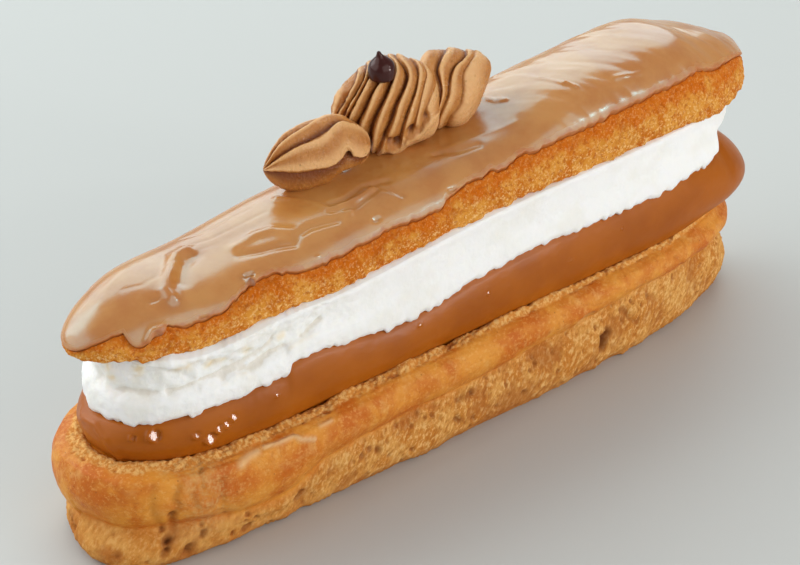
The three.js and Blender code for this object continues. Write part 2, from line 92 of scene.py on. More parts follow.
# The trough's floor, and how far in from the trough's edge it starts
TROUGH_FLOOR, TROUGH_INSET = 14.5, 0.8
# What is left between the whipped cream and the lid
CONTACT = 0.02
ICING_THICKNESS = 1.3
# How square the lid's cross-section is: 2 is an ellipse
DOME_POWER = 2.6
# How wide the strip is over which heights change from the near side's to the far side's
LAYER_WIDTH = 28

# Where each layer starts and ends along X, half its width, how blunt its ends are, how much wider
# it is towards +X, and how many points it has along one side
Plan = namedtuple("Plan", "near far half near_power far_power taper columns")
BASE = Plan(-83.2, 80.1, 19.6, 7.0, 6.0, -0.05, 540)
TROUGH = Plan(-77.4, 77.0, 14.9, 8.0, 6.5, 0.02, 540)
CREAM = Plan(-76.4, 80.1, 15.0, 8.5, 6.5, 0.02, 480)
WHIPPED = Plan(-75.4, 79.5, 15.4, 9.5, 6.0, 0.01, 540)
LID = Plan(-81.4, 84.1, 14.7, 5.4, 7.0, 0.09, 540)
ICING_COLUMNS = 520
# Takes the height out of points, for noise that is the same from top to bottom
FLAT = np.array([1, 1, 0.0])

# ---- curves


def smooth(t):
    t = np.clip(t, 0, 1)
    return t * t * (3 - 2 * t)


def mix(a, b, t):
    return a + (b - a) * t


def hill(x, centre, width):
    return np.exp(-(((x - centre) / width) ** 2))


def along(*stations):
    """A smooth curve through a few (x, value) stations."""
    xs, vs = np.array(stations, float).T
    last = len(xs) - 1
    here = np.arange(last + 1)
    before, after = np.maximum(here - 1, 0), np.minimum(here + 1, last)
    slope = (vs[after] - vs[before]) / (xs[after] - xs[before])

    def curve(x):
        x = np.asarray(x, float)
        i = np.clip(np.searchsorted(xs, x) - 1, 0, last - 1)
        span = xs[i + 1] - xs[i]
        t = np.clip((x - xs[i]) / span, 0, 1)
        bend = t * (1 - t) ** 2 * slope[i] + t * t * (t - 1) * slope[i + 1]
        return mix(vs[i], vs[i + 1], smooth(t)) + span * bend

    return curve


def across(near, far):
    """A height that is near(x) on the near side and far(x) on the far one."""
    return lambda x, y: mix(near(x), far(x), np.clip(0.5 + y / LAYER_WIDTH, 0, 1))


def rim_height(x):
    return RIM_HEIGHT - 0.9 * smooth((-20 - x) / 35) + 0.8 * smooth((x - 53) / 12)


# Heights read along X: the coffee cream's top, the lid's underside, and above that underside the
# dome and the icing's edge
cream_top = across(
    along((-80, 25.6), (-70, 27), (-60, 27.9), (-50, 28.5), (-46.4, 28.7), (-45.2, 30.2), (-38, 30.5),
          (-20, 28.6), (-2, 30.9), (18, 32.1), (43, 31.4), (68, 32.4), (71.5, 32.1), (73.5, 33.2), (80, 33)),
    lambda x: (30.4 + 0.028 * x + 0.7 * np.sin(x / 9)
               - 3.2 * smooth((-58 - x) / 20) - 1.2 * smooth((x - 66) / 12)),
)
lid_bottom = across(
    along((-80, 39.6), (-71, 38.3), (-62, 38.3), (-45, 39.9), (-32, 39.9), (-12, 41.6), (9, 42.9),
          (40, 43.2), (60, 43.2), (66, 42.4), (74, 43.4), (83, 44)),
    lambda x: 41.4 + 0.022 * x + 0.5 * np.sin(x / 11 + 2),
)
dome_height = along((-82, 5), (-67, 9.5), (-52, 9.1), (-32, 11.4), (-2, 11.4), (13, 12.1), (20, 14),
                    (27, 15.7), (43, 16.3), (58, 16.3), (70, 13), (83, 7.1))
icing_edge = across(
    along((-81.4, 0.9), (-79.5, 2.6), (-77, 4.3), (-73, 3), (-69, 5.2), (-64, 4.6), (-58, 4.9), (-50, 6.8),
          (-41, 5.8), (-20, 6.1), (-9, 5.2), (-5, 6.9), (8, 7.2), (18, 8.2), (31, 8.9), (49, 9.7),
          (61, 10.1), (68, 9.2), (75, 7.6), (81, 5.2)),
    lambda x: (6.4 + 0.02 * x + 0.9 * np.sin(x / 6)) * smooth((x + 85) / 12),
)

# ---- noise


def scatter(i, j, k, seed):
    """A fixed random number from 0 to 1 for each whole-number cell."""
    n = (i * 73856093) ^ (j * 19349663) ^ (k * 83492791) ^ (seed * 40503)
    low_bits = np.uint64(2**32 - 1)
    n = n.astype(np.uint64) & low_bits
    for shift, factor in ((15, 2246822519), (13, 3266489917)):
        n = ((n ^ (n >> np.uint64(shift))) * np.uint64(factor)) & low_bits
    return ((n ^ (n >> np.uint64(16))) & low_bits).astype(float) / 2**32


def noise(p, size, seed, stretch=(1, 1, 1)):
    """Smooth noise from -1 to 1 whose bumps are about size across."""
    q = p / (np.array(stretch, float) * size)
    base = np.floor(q).astype(np.int64)
    f = q - base
    f = f * f * f * (f * (f * 6 - 15) + 10)
    total = 0
    for corner in np.ndindex(2, 2, 2):
        i, j, k = np.moveaxis(base + corner, -1, 0)
        total = total + scatter(i, j, k, seed) * np.where(corner, f, 1 - f).prod(-1)
    return 2 * total - 1


def layers(p, size, octaves, seed, stretch=(1, 1, 1)):
    """Several sizes of noise added up, from -1 to 1."""
    total, weight = 0, 0
    for octave in range(octaves):
        amount = 0.5**octave
        total = total + amount * noise(p, size / 2.0**octave, seed + octave * 17, stretch)
        weight += amount
    return total / weight


def cells(p, size, seed, stretch=(1, 1, 1)):
    """Distance to the nearest scattered point, in cells, and that point's random number."""
    q = p / (np.array(stretch, float) * size)
    base = np.floor(q).astype(np.int64)
    nearest = np.full(q.shape[:-1], 9.0)
    number = np.zeros(q.shape[:-1])
    for corner in np.ndindex(3, 3, 3):
        cell = np.moveaxis(base + corner - 1, -1, 0)
        spot = np.stack([cell[k] + scatter(*cell, seed + k) for k in range(3)], -1)
        apart = np.linalg.norm(spot - q, axis=-1)
        closer = apart < nearest
        number = np.where(closer, scatter(*cell, seed + 3), number)
        nearest = np.where(closer, apart, nearest)
    return nearest, number


# ---- lofted layers


def x_at(plan, s, grow=0):
    return (plan.far + plan.near) / 2 + ((plan.far - plan.near) / 2 + grow) * s


def width_at(plan, s):
    power = np.where(s < 0, plan.near_power, plan.far_power)
    return np.sqrt(np.clip(1 - np.abs(s) ** power, 0, 1)) * (1 + plan.taper * s)


def columns_round(plan, per_side=None):
    """s from -1 to 1 along the near side and back along the far side, evenly spaced on the edge."""
    per_side = per_side or plan.columns
    fine = np.sin(np.linspace(-0.5, 0.5, 8001) * np.pi)
    half_length = (plan.far - plan.near) / 2
    step = np.hypot(half_length * np.diff(fine), plan.half * np.diff(width_at(plan, fine)))
    run = np.concatenate([[0], np.cumsum(step)])
    s = np.interp(np.linspace(0, run[-1], per_side + 1), run, fine)
    side = np.concatenate([-np.ones(per_side + 1), np.ones(per_side - 1)])
    return np.concatenate([s, s[-2:0:-1]]), side


def ring(plan, s, side, grow, z):
    """One ring of points: the plan grown outward by grow, at the height that z gives."""
    x = x_at(plan, s, grow)
    y = side * np.maximum(0, plan.half + grow) * width_at(plan, s)
    return np.stack([x, y, np.broadcast_to(z(x, y) if callable(z) else z, x.shape)], -1)


def spine(plan, s, side, z):
    """A ring that is closed up to a line along the middle of the plan."""
    return ring(plan, s, side, -plan.half, z)


def normals_of(points):
    """Outward normals of a ring grid."""
    round_about = np.roll(points, -1, 1) - np.roll(points, 1, 1)
    n = np.cross(round_about, np.gradient(points, axis=0))
    return n / np.maximum(np.linalg.norm(n, axis=-1, keepdims=True), 1e-9)


class Loft:
    """Rings that follow one another over a layer, each with its share of the way."""

    def __init__(self):
        self.rings, self.shares = [], []

    def add(self, points, share=0):
        self.rings.append(points)
        self.shares.append(share)

    def grid(self):
        """The rings' points, each point's share of the way, and the outward normals."""
        points = np.array(self.rings)
        return points, np.array(self.shares)[:, None] * np.ones(points.shape[1]), normals_of(points)


def link(name, points, faces, attributes):
    """Makes a mesh object from a grid of points in millimetres and rows of point numbers."""
    used, compact = np.unique(np.concatenate([f.ravel() for f in faces]), return_inverse=True)
    cuts = np.cumsum([f.size for f in faces])[:-1]
    faces = [part.reshape(-1, f.shape[1]) for part, f in zip(np.split(compact.ravel(), cuts), faces)]
    vertices = points.reshape(-1, 3)[used]
    a, b, c = (vertices[faces[0][:, k]] for k in range(3))
    if np.einsum("ij,ij->i", a, np.cross(b, c)).sum() < 0:
        faces = [f[:, ::-1] for f in faces]
    loops = np.concatenate([f.ravel() for f in faces]).astype(np.int32)
    totals = np.concatenate([np.full(len(f), f.shape[1]) for f in faces])
    mesh = bpy.data.meshes.new(name)
    mesh.vertices.add(len(vertices))
    mesh.vertices.foreach_set("co", (vertices / 1000).ravel())
    mesh.loops.add(len(loops))
    mesh.loops.foreach_set("vertex_index", loops)
    mesh.polygons.add(len(totals))
    mesh.polygons.foreach_set("loop_start", (np.cumsum(totals) - totals).astype(np.int32))
    mesh.polygons.foreach_set("use_smooth", np.ones(len(totals), bool))
    mesh.update(calc_edges=True)
    mesh.validate()
    for key, values in attributes.items():
        layer = mesh.attributes.new(key, "FLOAT", "POINT")
        layer.data.foreach_set("value", values.reshape(-1)[used].astype(np.float32))
    return add(name, mesh)


def strips(number):
    """The quads between each row of point numbers and the next."""
    right = np.roll(number, -1, 1)
    return np.stack([number[:-1], right[:-1], right[1:], number[1:]], -1).reshape(-1, 4)


def folded_grid(name, points, attributes):
    """A closed piece from rings round a layer. Its first and last ring are doubled lines, so
    each far point there shares the near one across from it."""
    rows, around, _ = points.shape
    number = np.arange(rows * around).reshape(rows, around)
    mirror = np.arange(around)
    mirror[around // 2 + 1:] = around - mirror[around // 2 + 1:]
    number[0], number[-1] = number[0][mirror], number[-1][mirror]
    return link(name, points, [strips(number)], attributes)


def tube_grid(name, points, attributes):
    """A closed piece from rings whose first and last ring shrink to one point each."""
    rows, around, _ = points.shape
    number = np.arange(rows * around).reshape(rows, around)
    number[0], number[-1] = number[0, 0], number[-1, 0]
    right = np.roll(number, -1, 1)
    start = np.stack([number[0], right[1], number[1]], -1)
    stop = np.stack([number[-2], right[-2], number[-1]], -1)
    return link(name, points, [strips(number[1:-1]), np.concatenate([start, stop])], attributes)


def spline_rows(rows, count):
    """count rows spaced evenly along a smooth curve through a few rows of numbers."""
    rows = np.array(rows, float)
    run = np.concatenate([[0], np.cumsum(np.linalg.norm(np.diff(rows, axis=0), axis=1))])
    at = np.linspace(0, run[-1], count)
    return np.stack([along(*zip(run, rows[:, k]))(at) for k in range(rows.shape[1])], -1)


def from_trail(points, trail):
    """Distance from each point to a line through a few points, or to one point."""
    trail = np.array(trail, float)
    best = np.linalg.norm(points - trail[0], axis=-1)
    for a, b in zip(trail[:-1], trail[1:]):
        way = b - a
        share = np.clip((points - a) @ way / (way @ way), 0, 1)
        best = np.minimum(best, np.linalg.norm(points - a - share[..., None] * way, axis=-1))
    return best


def marks(points, rows):
    """Sum of soft dents and ridges, each given as depth, width and a trail of points."""
    return sum(depth * hill(from_trail(points, trail), 0, width) for depth, width, trail in rows)


# ---- lower half of the bun

# Cracks, holes, raised flakes and darker baked spots on the near side: depth, width, trail
CRACKS = (
    (0.8, 0.5, ((-65.1, -13.8, 18.3), (-65.9, -15.5, 18), (-67, -16.6, 17.6), (-67.4, -17.4, 15.5))),
    (0.5, 0.8, ((-74.9, -13.7, 17), (-75.6, -14.1, 14.9), (-75.9, -14.4, 12.4), (-73.3, -13.3, 7))),
    (0.8, 0.7, ((-71.2, -16, 16.5), (-72.3, -16.2, 14.5), (-71.6, -16.2, 12.7), (-72.7, -15.6, 10.7))),
    (1.3, 0.8, ((-72.7, -15.6, 10.7), (-71.9, -14.5, 7.4))),
    (0.6, 0.9, ((-63.5, -18.2, 15.6), (-64, -18.3, 12.3), (-62.3, -16.6, 7.4))),
    (0.5, 0.6, ((-69.5, -17.4, 14.5), (-68.6, -18, 12))),
    (0.8, 0.6, ((36.8, -17.6, 12.6), (38, -18.2, 8.2), (40.4, -18.4, 6.5))),
    (0.5, 0.5, ((51.3, -18.1, 17.2), (54.9, -16.6, 12.8), (55.2, -16.6, 10.8))),
    (0.9, 0.8, ((-8, -18.3, 8.5), (-6.1, -18.4, 8.6), (-4.2, -18.2, 8.9))),
)
HOLES = (
    (1.6, 0.8, ((-72.9, -15.3, 6.6), (-73.4, -14.6, 5.4))),
    (1, 0.45, ((-66.8, -16.6, 5.4), (-67.1, -16.7, 4.6))),
    (1.5, 0.75, ((-69.9, -16.2, 3.2), (-70.2, -16.2, 2.3))),
    (0.9, 0.7, ((-74.1, -15.3, 4.2), (-74.6, -15, 3.4))),
    (0.5, 0.9, ((-81.2, -10.9, 3.9),)),
    (1.1, 0.7, ((-58.4, -16.8, 2.2), (-57.4, -16.8, 2.6))),
    (1, 0.6, ((-47, -18, 3.9), (-46, -18, 4.7))),
    (1.7, 0.8, ((30, -19.2, 5.2), (31, -19.2, 7), (32.2, -19.2, 7.6))),
    (0.8, 0.6, ((-28.4, -18.8, 6.5),)),
    (0.7, 0.5, ((-26.1, -19, 4.5),)),
    (0.9, 0.6, ((-9.3, -19.2, 5.2), (-8.6, -19.2, 4.6))),
    (0.8, 0.6, ((8.1, -19.9, 3.8),)),
    (0.7, 0.5, ((17, -19.6, 5),)),
    (0.7, 0.5, ((47.5, -18.6, 4), (48.4, -18.6, 4.6))),
)
FLAKES = (
    (0.5, 0.42, ((-53.8, -17.7, 17.7), (-50.8, -18.2, 17.6), (-47.7, -18.4, 17.9), (-46.7, -19.3, 17.2),
                 (-44, -19.8, 16.3))),
    (0.35, 0.7, ((-59.6, -18.3, 17), (-57.2, -17.9, 17.6), (-55.5, -17.9, 17.7))),
    (0.3, 0.4, ((-42, -18.8, 17.6), (-39.5, -19, 17.9))),
)
BAKED = (
    (1, 3.2, ((-81.7, -6.8, 13.8), (-80, -9.7, 16.2), (-77.9, -9.8, 15.8))),
    (1, 3.4, ((-62.3, -19, 15.4), (-60, -19.2, 14.6))),
    (0.8, 2.6, ((-50.6, -19.7, 12.6), (-47.7, -19.7, 13.4))),
    (0.9, 2.8, ((-39.5, -19.6, 15), (-34.8, -19.8, 16.2))),
    (0.8, 2.6, ((-20.8, -19.5, 14.9), (-15.8, -19.5, 15.9))),
    (0.7, 2.4, ((6.3, -19.7, 15.4), (12.3, -19.7, 16.8))),
    (0.8, 2.4, ((41, -17.9, 16), (45, -17.9, 17.6))),
)

# How far the foot is drawn in, and the height of the waist above it, from the near end (-1) to
# the far one (1)
foot_inset = along((-1, -1.2), (-0.93, -1), (-0.87, -0.3), (-0.7, 1.4), (-0.55, 1.4), (-0.4, 0.2),
                   (-0.1, -0.5), (0.17, -1.3), (0.45, -0.8), (0.75, 0.2), (0.88, 0.1), (0.96, -0.6), (1, -1))
waist_height = along((-1, 7.2), (-0.86, 7.4), (-0.765, 6.3), (-0.69, 5.8), (-0.59, 5.4), (-0.54, 6.8),
                     (-0.48, 9), (-0.31, 10.1), (0.02, 10.5), (0.2, 11.5), (0.39, 12.2), (0.57, 13),
                     (0.75, 12.8), (1, 12.6))
# The wall from the floor to the rim: how far it is in from the plan, and its height
WALL = ((2.8, 0), (1.9, 0.5), (0.9, 2.2), (0.8, 4.8), (1.3, 7.2), (2.3, WAIST), (0.9, 11.2), (0, 13.6),
        (0.1, 16), (0.9, RIM_START), (2.2, RIM_HEIGHT))
WALL_ROWS, RIM_ROWS = 64, 16
# A blister in the roll: its middle along X and up Z, and half its length and height
BLISTER = (25.2, 13.3, 3, 1.7)


def choux_base():
    s, side = columns_round(BASE)
    loft = Loft()

    def foot_draw(z):
        return -foot_inset(s) * (1 - smooth((z - 4) / 5))

    def waist(z):
        lift = waist_height(s) - WAIST - 1.8 * hill(s, -0.94, 0.07) * (side > 0)
        return z + lift * (z / WAIST if z < WAIST else (RIM_HEIGHT - z) / (RIM_HEIGHT - WAIST))

    def skewed(points, z):
        """Slants the near end of the foot."""
        end = smooth((-s - 0.72) / 0.28) * (1 - smooth((z - 5) / 4))
        points[:, 0] += 0.25 * end * (points[:, 1] + 3)
        return points

    loft.add(spine(BASE, s, side, 0.0))
    loft.add(skewed(ring(BASE, s, side, -9 + foot_draw(0), 0.0), 0))
    for inset, z in spline_rows(WALL, WALL_ROWS):
        rim = smooth((z - RIM_START) / (RIM_HEIGHT - RIM_START))
        height = waist(min(z, RIM_HEIGHT))
        loft.add(skewed(ring(
            BASE, s, side, -inset + foot_draw(z), lambda x, y: height + rim * (rim_height(x) - RIM_HEIGHT),
        ), z))
    outer, inner = loft.rings[-1], ring(TROUGH, s, side, 0, lambda x, y: rim_height(x) + INNER_RIM)
    for t in np.linspace(0, 1, RIM_ROWS)[1:]:
        loft.add(mix(outer, inner, t), t)
    for grow, drop in ((-0.3, 1.2), (-0.6, 2.6)):
        loft.add(ring(TROUGH, s, side, grow, lambda x, y: rim_height(x) + INNER_RIM - drop), 1)
    loft.add(ring(TROUGH, s, side, -TROUGH_INSET, TROUGH_FLOOR), 1)
    loft.add(spine(TROUGH, s, side, TROUGH_FLOOR), 1)
    points, across_rim, n = loft.grid()
    x, y, z = np.moveaxis(points, -1, 0)

    # low is 1 on the foot, cut on the crumb of the rim, and roll on the smooth skin between them
    near_side = side < 0
    low = 1 - smooth((z - waist(WAIST) + 0.9) / 1.6)
    cut = smooth((across_rim - 0.12 - 0.3 * layers(points, 2.6, 3, 2)) / 0.3) * (across_rim > 0)
    roll = (1 - low) * (1 - cut)
    lumps = 0.4 * layers(points, 11, 2, 1) + 0.16 * noise(points, 4.5, 5)
    skin = 0.18 * layers(points, 2.8, 3, 7, stretch=(2.2, 2.2, 1)) + 0.06 * layers(points, 0.9, 2, 9)
    slanted = np.stack([0.66 * x + 0.75 * z, y, 0.66 * z - 0.75 * x], -1)
    strands = layers(slanted, 0.7, 3, 13, stretch=(3.2, 1.6, 1))
    broad = layers(slanted, 3.6, 2, 11, stretch=(1.6, 1.3, 1))
    hollow, pick = cells(points, 1.9, 23, stretch=(1, 1, 1.2))
    small_pits = smooth((0.36 - hollow) / 0.26) * (pick > 0.6)
    grain, _ = cells(points, 0.85, 29)
    crumb = 0.5 * (0.55 - grain) + 0.3 * layers(points, 0.7, 2, 31) + 0.35 * layers(points, 3.2, 2, 37)
    crest = hill(across_rim, 0.78, 0.36) * (across_rim > 0)
    heap = 0.55 + 0.8 * np.clip(layers(points * FLAT, 5, 2, 33), -0.2, 1) - 0.9 * hill(x, -8.5, 3) * near_side
    wobble = 1 + 0.3 * layers(points, 1.5, 2, 39)
    cracks, holes, flakes, baked = (marks(points, rows) for rows in (CRACKS, HOLES, FLAKES, BAKED))
    seam = hill(x, -66.5, 4.2) * near_side * (1 - cut) * smooth((z - 3) / 3)
    middle_x, middle_z, half_length, half_height = BLISTER
    bubble = np.hypot((x - middle_x) / half_length, (z - middle_z) / half_height) + 3 * (side > 0)
    blister = smooth((1.15 - bubble) / 0.3)

    push = lumps * (1 - cut)
    push += roll * skin
    fibrous = mix(0.35, 0.8, smooth((x + 60) / 25))
    push += low * (0.45 * broad + 0.5 * fibrous * strands + 0.3 * (0.5 - grain) - 0.6 * small_pits)
    push += cut * crumb + crest * heap
    push += seam * (0.3 * layers(points, 1.7, 3, 35) + 0.15 * strands)
    push += 0.3 * hill(bubble, 1, 0.25) - 0.25 * blister
    push += (flakes - (0.6 * cracks + holes) * wobble) * (across_rim < 0.1)
    off_floor = smooth(z / 0.6)
    off_floor[:3] = 0
    push *= off_floor
    push[-2:] = 0
    points = points + n * push[..., None]
    points[..., 2] = np.maximum(points[..., 2], 0.0)
    stale_rim = crest * hill(x, 10, 14) * near_side * hill(across_rim, 0.9, 0.3)
    return folded_grid("choux_base_crust", points, {
        "crumb": cut,
        "foot": low,
        "fibrous": fibrous,
        # Painted shade: cracks, holes and small pits are painted dark brown.
        "pit_shade": np.clip(0.35 * cracks + 0.6 * holes + 0.3 * small_pits * low, 0, 0.9),
        "stale": np.clip(0.8 * seam + 0.7 * blister + stale_rim, 0, 1),
        "flake": np.clip(flakes * 3, 0, 1),
        "baked": np.clip(baked, 0, 1),
        "edge": 1 - smooth((z - 0.6) / 2.2),
        # sunk paints shade: where the surface is pushed in, the crust is painted darker.
        "sunk": np.clip(0.5 - push / 1.2, 0, 1),
    })


# ---- creams

# Marks on the coffee cream: depth (below zero stands up), width, trail
DENTS = (
    (-0.45, 0.7, ((-76.6, 5.8, 24.6), (-77, 3.8, 23.6), (-77.2, -0.8, 24.3), (-77.2, -3.8, 22.8),
                  (-76, -5.6, 19.7))),
    (0.25, 1.6, ((-76.9, 5, 21.6), (-77.1, 2, 21.2), (-76.8, -1, 20.2))),
)
# Wet spots on the coffee cream: radius, centre
WET = (
    (1.25, (-72, -10.3, 24.5)), (0.6, (-74.7, -8, 24.1)), (0.8, (-65.6, -14, 23.5)),
    (1.15, (-63.1, -14.6, 22.1)), (0.95, (-61.2, -15, 23.5)), (0.9, (-59.8, -15.2, 24.1)),
    (0.9, (-58.2, -15.4, 24.8)), (0.55, (-49.3, -15.8, 25.9)), (0.6, (1.2, -16.3, 27.3)),
    (0.5, (-15.6, -15.9, 26.9)), (0.5, (22.5, -16.5, 26.6)), (0.5, (36.9, -16.3, 28.1)),
)
LOW_LAMP = (280, -465, 110)
# The cream's first rings lie in the trough and its last ones under the whipped cream. They are
# left as they are.
HIDDEN_FIRST, HIDDEN_LAST = 4, 2


def unit(way):
    """A direction of length 1."""
    return way / np.linalg.norm(way)


def wet_spots(points, n):
    """Flat spots that are turned to the low lamp, and a mask of where they are."""
    wet = np.zeros(points.shape[:2])
    camera = np.array(TARGET) + np.array(BACK) * DISTANCE
    for radius, centre in WET:
        apart = np.linalg.norm(points - np.array(centre), axis=-1)
        row, column = np.unravel_index(np.argmin(apart), apart.shape)
        seat, outward = points[row, column].copy(), n[row, column]
        facing = unit(unit(camera - seat) + unit(np.array(LOW_LAMP) - seat))
        apart = np.linalg.norm(points - seat, axis=-1)
        mask = 1 - smooth((apart / radius - 0.8) / 0.4)
        mask[:HIDDEN_FIRST] = 0
        mask[-HIDDEN_LAST:] = 0
        tilt = -((points - seat) @ facing) / (outward @ facing) + 0.08
        points = points + (mask * tilt)[..., None] * outward
        wet = np.maximum(wet, mask)
    return points, wet


def coffee_cream():
    s, side = columns_round(CREAM)
    loft = Loft()

    def seat(x, y):
        return rim_height(x) + INNER_RIM + GAP

    def top(x, y):
        return cream_top(x, y) - GAP / 2

    def bulge(t):
        t = min(t, 0.9999)
        far = 3.0 * np.sin(np.pi * t**0.6) - 2.4 * t * t
        return 1.5 * np.sin(np.pi * t) ** 0.8 + smooth((s - 0.7) / 0.3) * far

    loft.add(spine(TROUGH, s, side, TROUGH_FLOOR + GAP))
    loft.add(ring(TROUGH, s, side, -TROUGH_INSET - GAP, TROUGH_FLOOR + GAP))
    loft.add(ring(TROUGH, s, side, -0.5 - GAP, lambda x, y: seat(x, y) - 1.6))
    loft.add(ring(TROUGH, s, side, -GAP, seat))
    for t in np.linspace(0.03, 1, 48):
        grow = bulge(t) - 0.15 * smooth((t - 0.9) / 0.1)
        loft.add(ring(CREAM, s, side, grow, lambda x, y: mix(seat(x, y), top(x, y), t)))
    loft.add(ring(CREAM, s, side, -3 + bulge(1), top))
    loft.add(spine(CREAM, s, side, top))
    points, _, n = loft.grid()
    push = 0.28 * layers(points, 13, 2, 41, stretch=(1.8, 1, 1)) + 0.05 * layers(points, 3.4, 2, 43)
    push += 0.025 * layers(points, 0.9, 2, 45)
    push -= marks(points, DENTS)
    push[:HIDDEN_FIRST] = 0
    push[-HIDDEN_LAST:] = 0
    points, wet = wet_spots(points + n * push[..., None], n)
    return folded_grid("coffee_cream_rope", points, {"wet": wet})


# Creases in the whipped cream and smears of crumb on it: depth or strength, width, trail
CREASES = (
    (0.75, 0.55, ((-75.6, -2.5, 32), (-71.2, -8.3, 32.2), (-66.8, -11.7, 32.6), (-60.2, -13, 33.3),
                  (-53.9, -14.6, 33), (-48.2, -14.5, 34.1), (-42.6, -14.5, 34.5), (-38, -14.6, 36.2))),
    (0.5, 0.5, ((-63.2, -12.7, 33.3), (-56.7, -14.1, 33.9), (-51.2, -14.1, 34.8), (-48.6, -14.3, 36.2))),
    (0.4, 0.6, ((-69, -10.2, 37), (-66.4, -12, 35.4), (-64.2, -12.6, 33.6))),
    (0.4, 0.5, ((-57, -13.5, 37.4), (-55, -13.9, 35.9), (-51.5, -14.2, 35.6))),
)
SMEARS = (
    (1, 0.9, ((-74.1, -2.3, 34), (-74.6, -2, 36.2))),
    (1, 0.9, ((-72.3, -7.2, 36.1), (-71.8, -7.8, 37.6))),
    (0.9, 0.8, ((-66.9, -11.9, 36.6), (-65.4, -12.3, 36.8))),
    (0.8, 0.7, ((-61.8, -13, 35.9), (-58.6, -13.3, 36.3))),
    (0.8, 0.8, ((-54.9, -13.9, 37.4), (-54, -14, 36.2))),
    (0.7, 0.6, ((-47.2, -14.4, 36.1), (-46.2, -14.5, 36.5))),
    (0.35, 0.35, ((-60, -15, 32.1), (-40, -15.6, 34.6), (-10, -15.8, 36.5), (25, -16, 37.6),
                  (60, -15.6, 38))),
)


def whipped_cream():
    s, side = columns_round(WHIPPED)
    torn = smooth((-22 - x_at(WHIPPED, s)) / 26)
    loft = Loft()

    def level(t):
        return lambda x, y: mix(cream_top(x, y) + GAP / 2, lid_bottom(x, y) - CONTACT, t)

    def step(t):
        """How far the lower part is set back at the far end."""
        return 4.2 * smooth((s - 0.85) / 0.06) * (1 - smooth((t - 0.42) / 0.14))

    plain = along((0, -0.1), (0.08, -0.45), (0.3, -0.2), (0.5, 0.15), (0.8, 0.25), (0.96, 0.1), (1, 0.4))
    lumpy = along((0, -0.1), (0.08, -0.6), (0.32, -0.5), (0.46, 0.6), (0.7, 0.8), (0.94, 0.3), (1, 0.6))
    loft.add(spine(WHIPPED, s, side, level(0)))
    loft.add(ring(WHIPPED, s, side, -2.5 - step(0), level(0)))
    for t in np.sin(np.linspace(0, 1, 54) * np.pi / 2) ** 1.3:
        loft.add(ring(WHIPPED, s, side, -mix(plain(t), lumpy(t), torn) - step(t), level(t)), t)
    loft.add(spine(WHIPPED, s, side, level(1)), 1)
    points, share, n = loft.grid()
    upper = smooth((share - 0.3) / 0.15)
    lumps, _ = cells(points, 4.6, 51, stretch=(1.3, 1.3, 0.8))
    flock = layers(points, 1.9, 3, 55)
    push = 0.22 * layers(points, 9, 2, 53, stretch=(1.6, 1, 1))
    push += torn * upper * (0.9 * (0.5 - lumps) + 0.5 * flock)
    push += (0.07 + 0.15 * torn) * layers(points, 1.1, 3, 57)
    push -= marks(points, CREASES)
    flat = points * FLAT
    frill = np.clip(layers(flat, 2.1, 2, 59) + 0.35 * noise(flat, 1.0, 63) + 0.15, 0, 1)
    lobes = frill * (1 - smooth((share - 0.03) / 0.12))
    push += 0.25 * lobes
    push[:2] = 0
    push[-5:-1] = np.maximum(push[-5:-1], 0)
    push[-1] = 0
    points = points + n * push[..., None]
    points[2:, :, 2] -= 0.85 * lobes[2:]
    stain = np.clip(marks(points, SMEARS) * (0.7 + 0.8 * layers(points, 1.2, 2, 61)), 0, 1)
    # sunk paints shade: hollows and creases in the cream are painted greyer.
    return folded_grid("whipped_cream_layer", points, {
        "stain": stain, "torn": torn * upper, "sunk": np.clip(0.5 - push, 0, 1),
    })


# ---- upper half and icing

# The shares of the way over the top at which the flat inner rings lie
TOP_SHARES = (0.2, 0.42, 0.64, 0.84, 1)


def dome_ring(s, side, rise, depth):
    """A ring on the lid's rounded surface, sunk by depth under the icing's outer face."""
    rise = np.broadcast_to(np.asarray(rise, float), s.shape)
    angle = rise * np.pi / 2
    narrow = np.where(rise >= 1, 0, np.cos(angle).clip(0) ** (2 / DOME_POWER))
    height = np.sin(angle) ** (2 / DOME_POWER)
    draw = 1 - 0.1 * smooth(-s / 0.6) - 0.85 * smooth((s - 0.2) / 0.6)
    x = x_at(LID, s, -LID.half * (1 - narrow) * draw - depth)
    y = side * (LID.half - depth) * narrow * width_at(LID, s)
    return np.stack([x, y, lid_bottom(x, y) + (dome_height(x) - depth) * height], -1)


def rise_at_edge(s, side):
    """How far up the dome the icing's ragged edge is."""
    x = x_at(LID, s)
    here = np.stack([x, 40.0 * side, 0 * x], -1)
    ragged = 0.55 * layers(here, 2.6, 2, 87) + 0.25 * layers(here, 1.1, 2, 89)
    height = icing_edge(x, side * LID.half) + ragged * smooth((x + 82) / 3)
    return np.arcsin(np.clip(height / dome_height(x), 0, 1) ** (DOME_POWER / 2)) / (np.pi / 2)


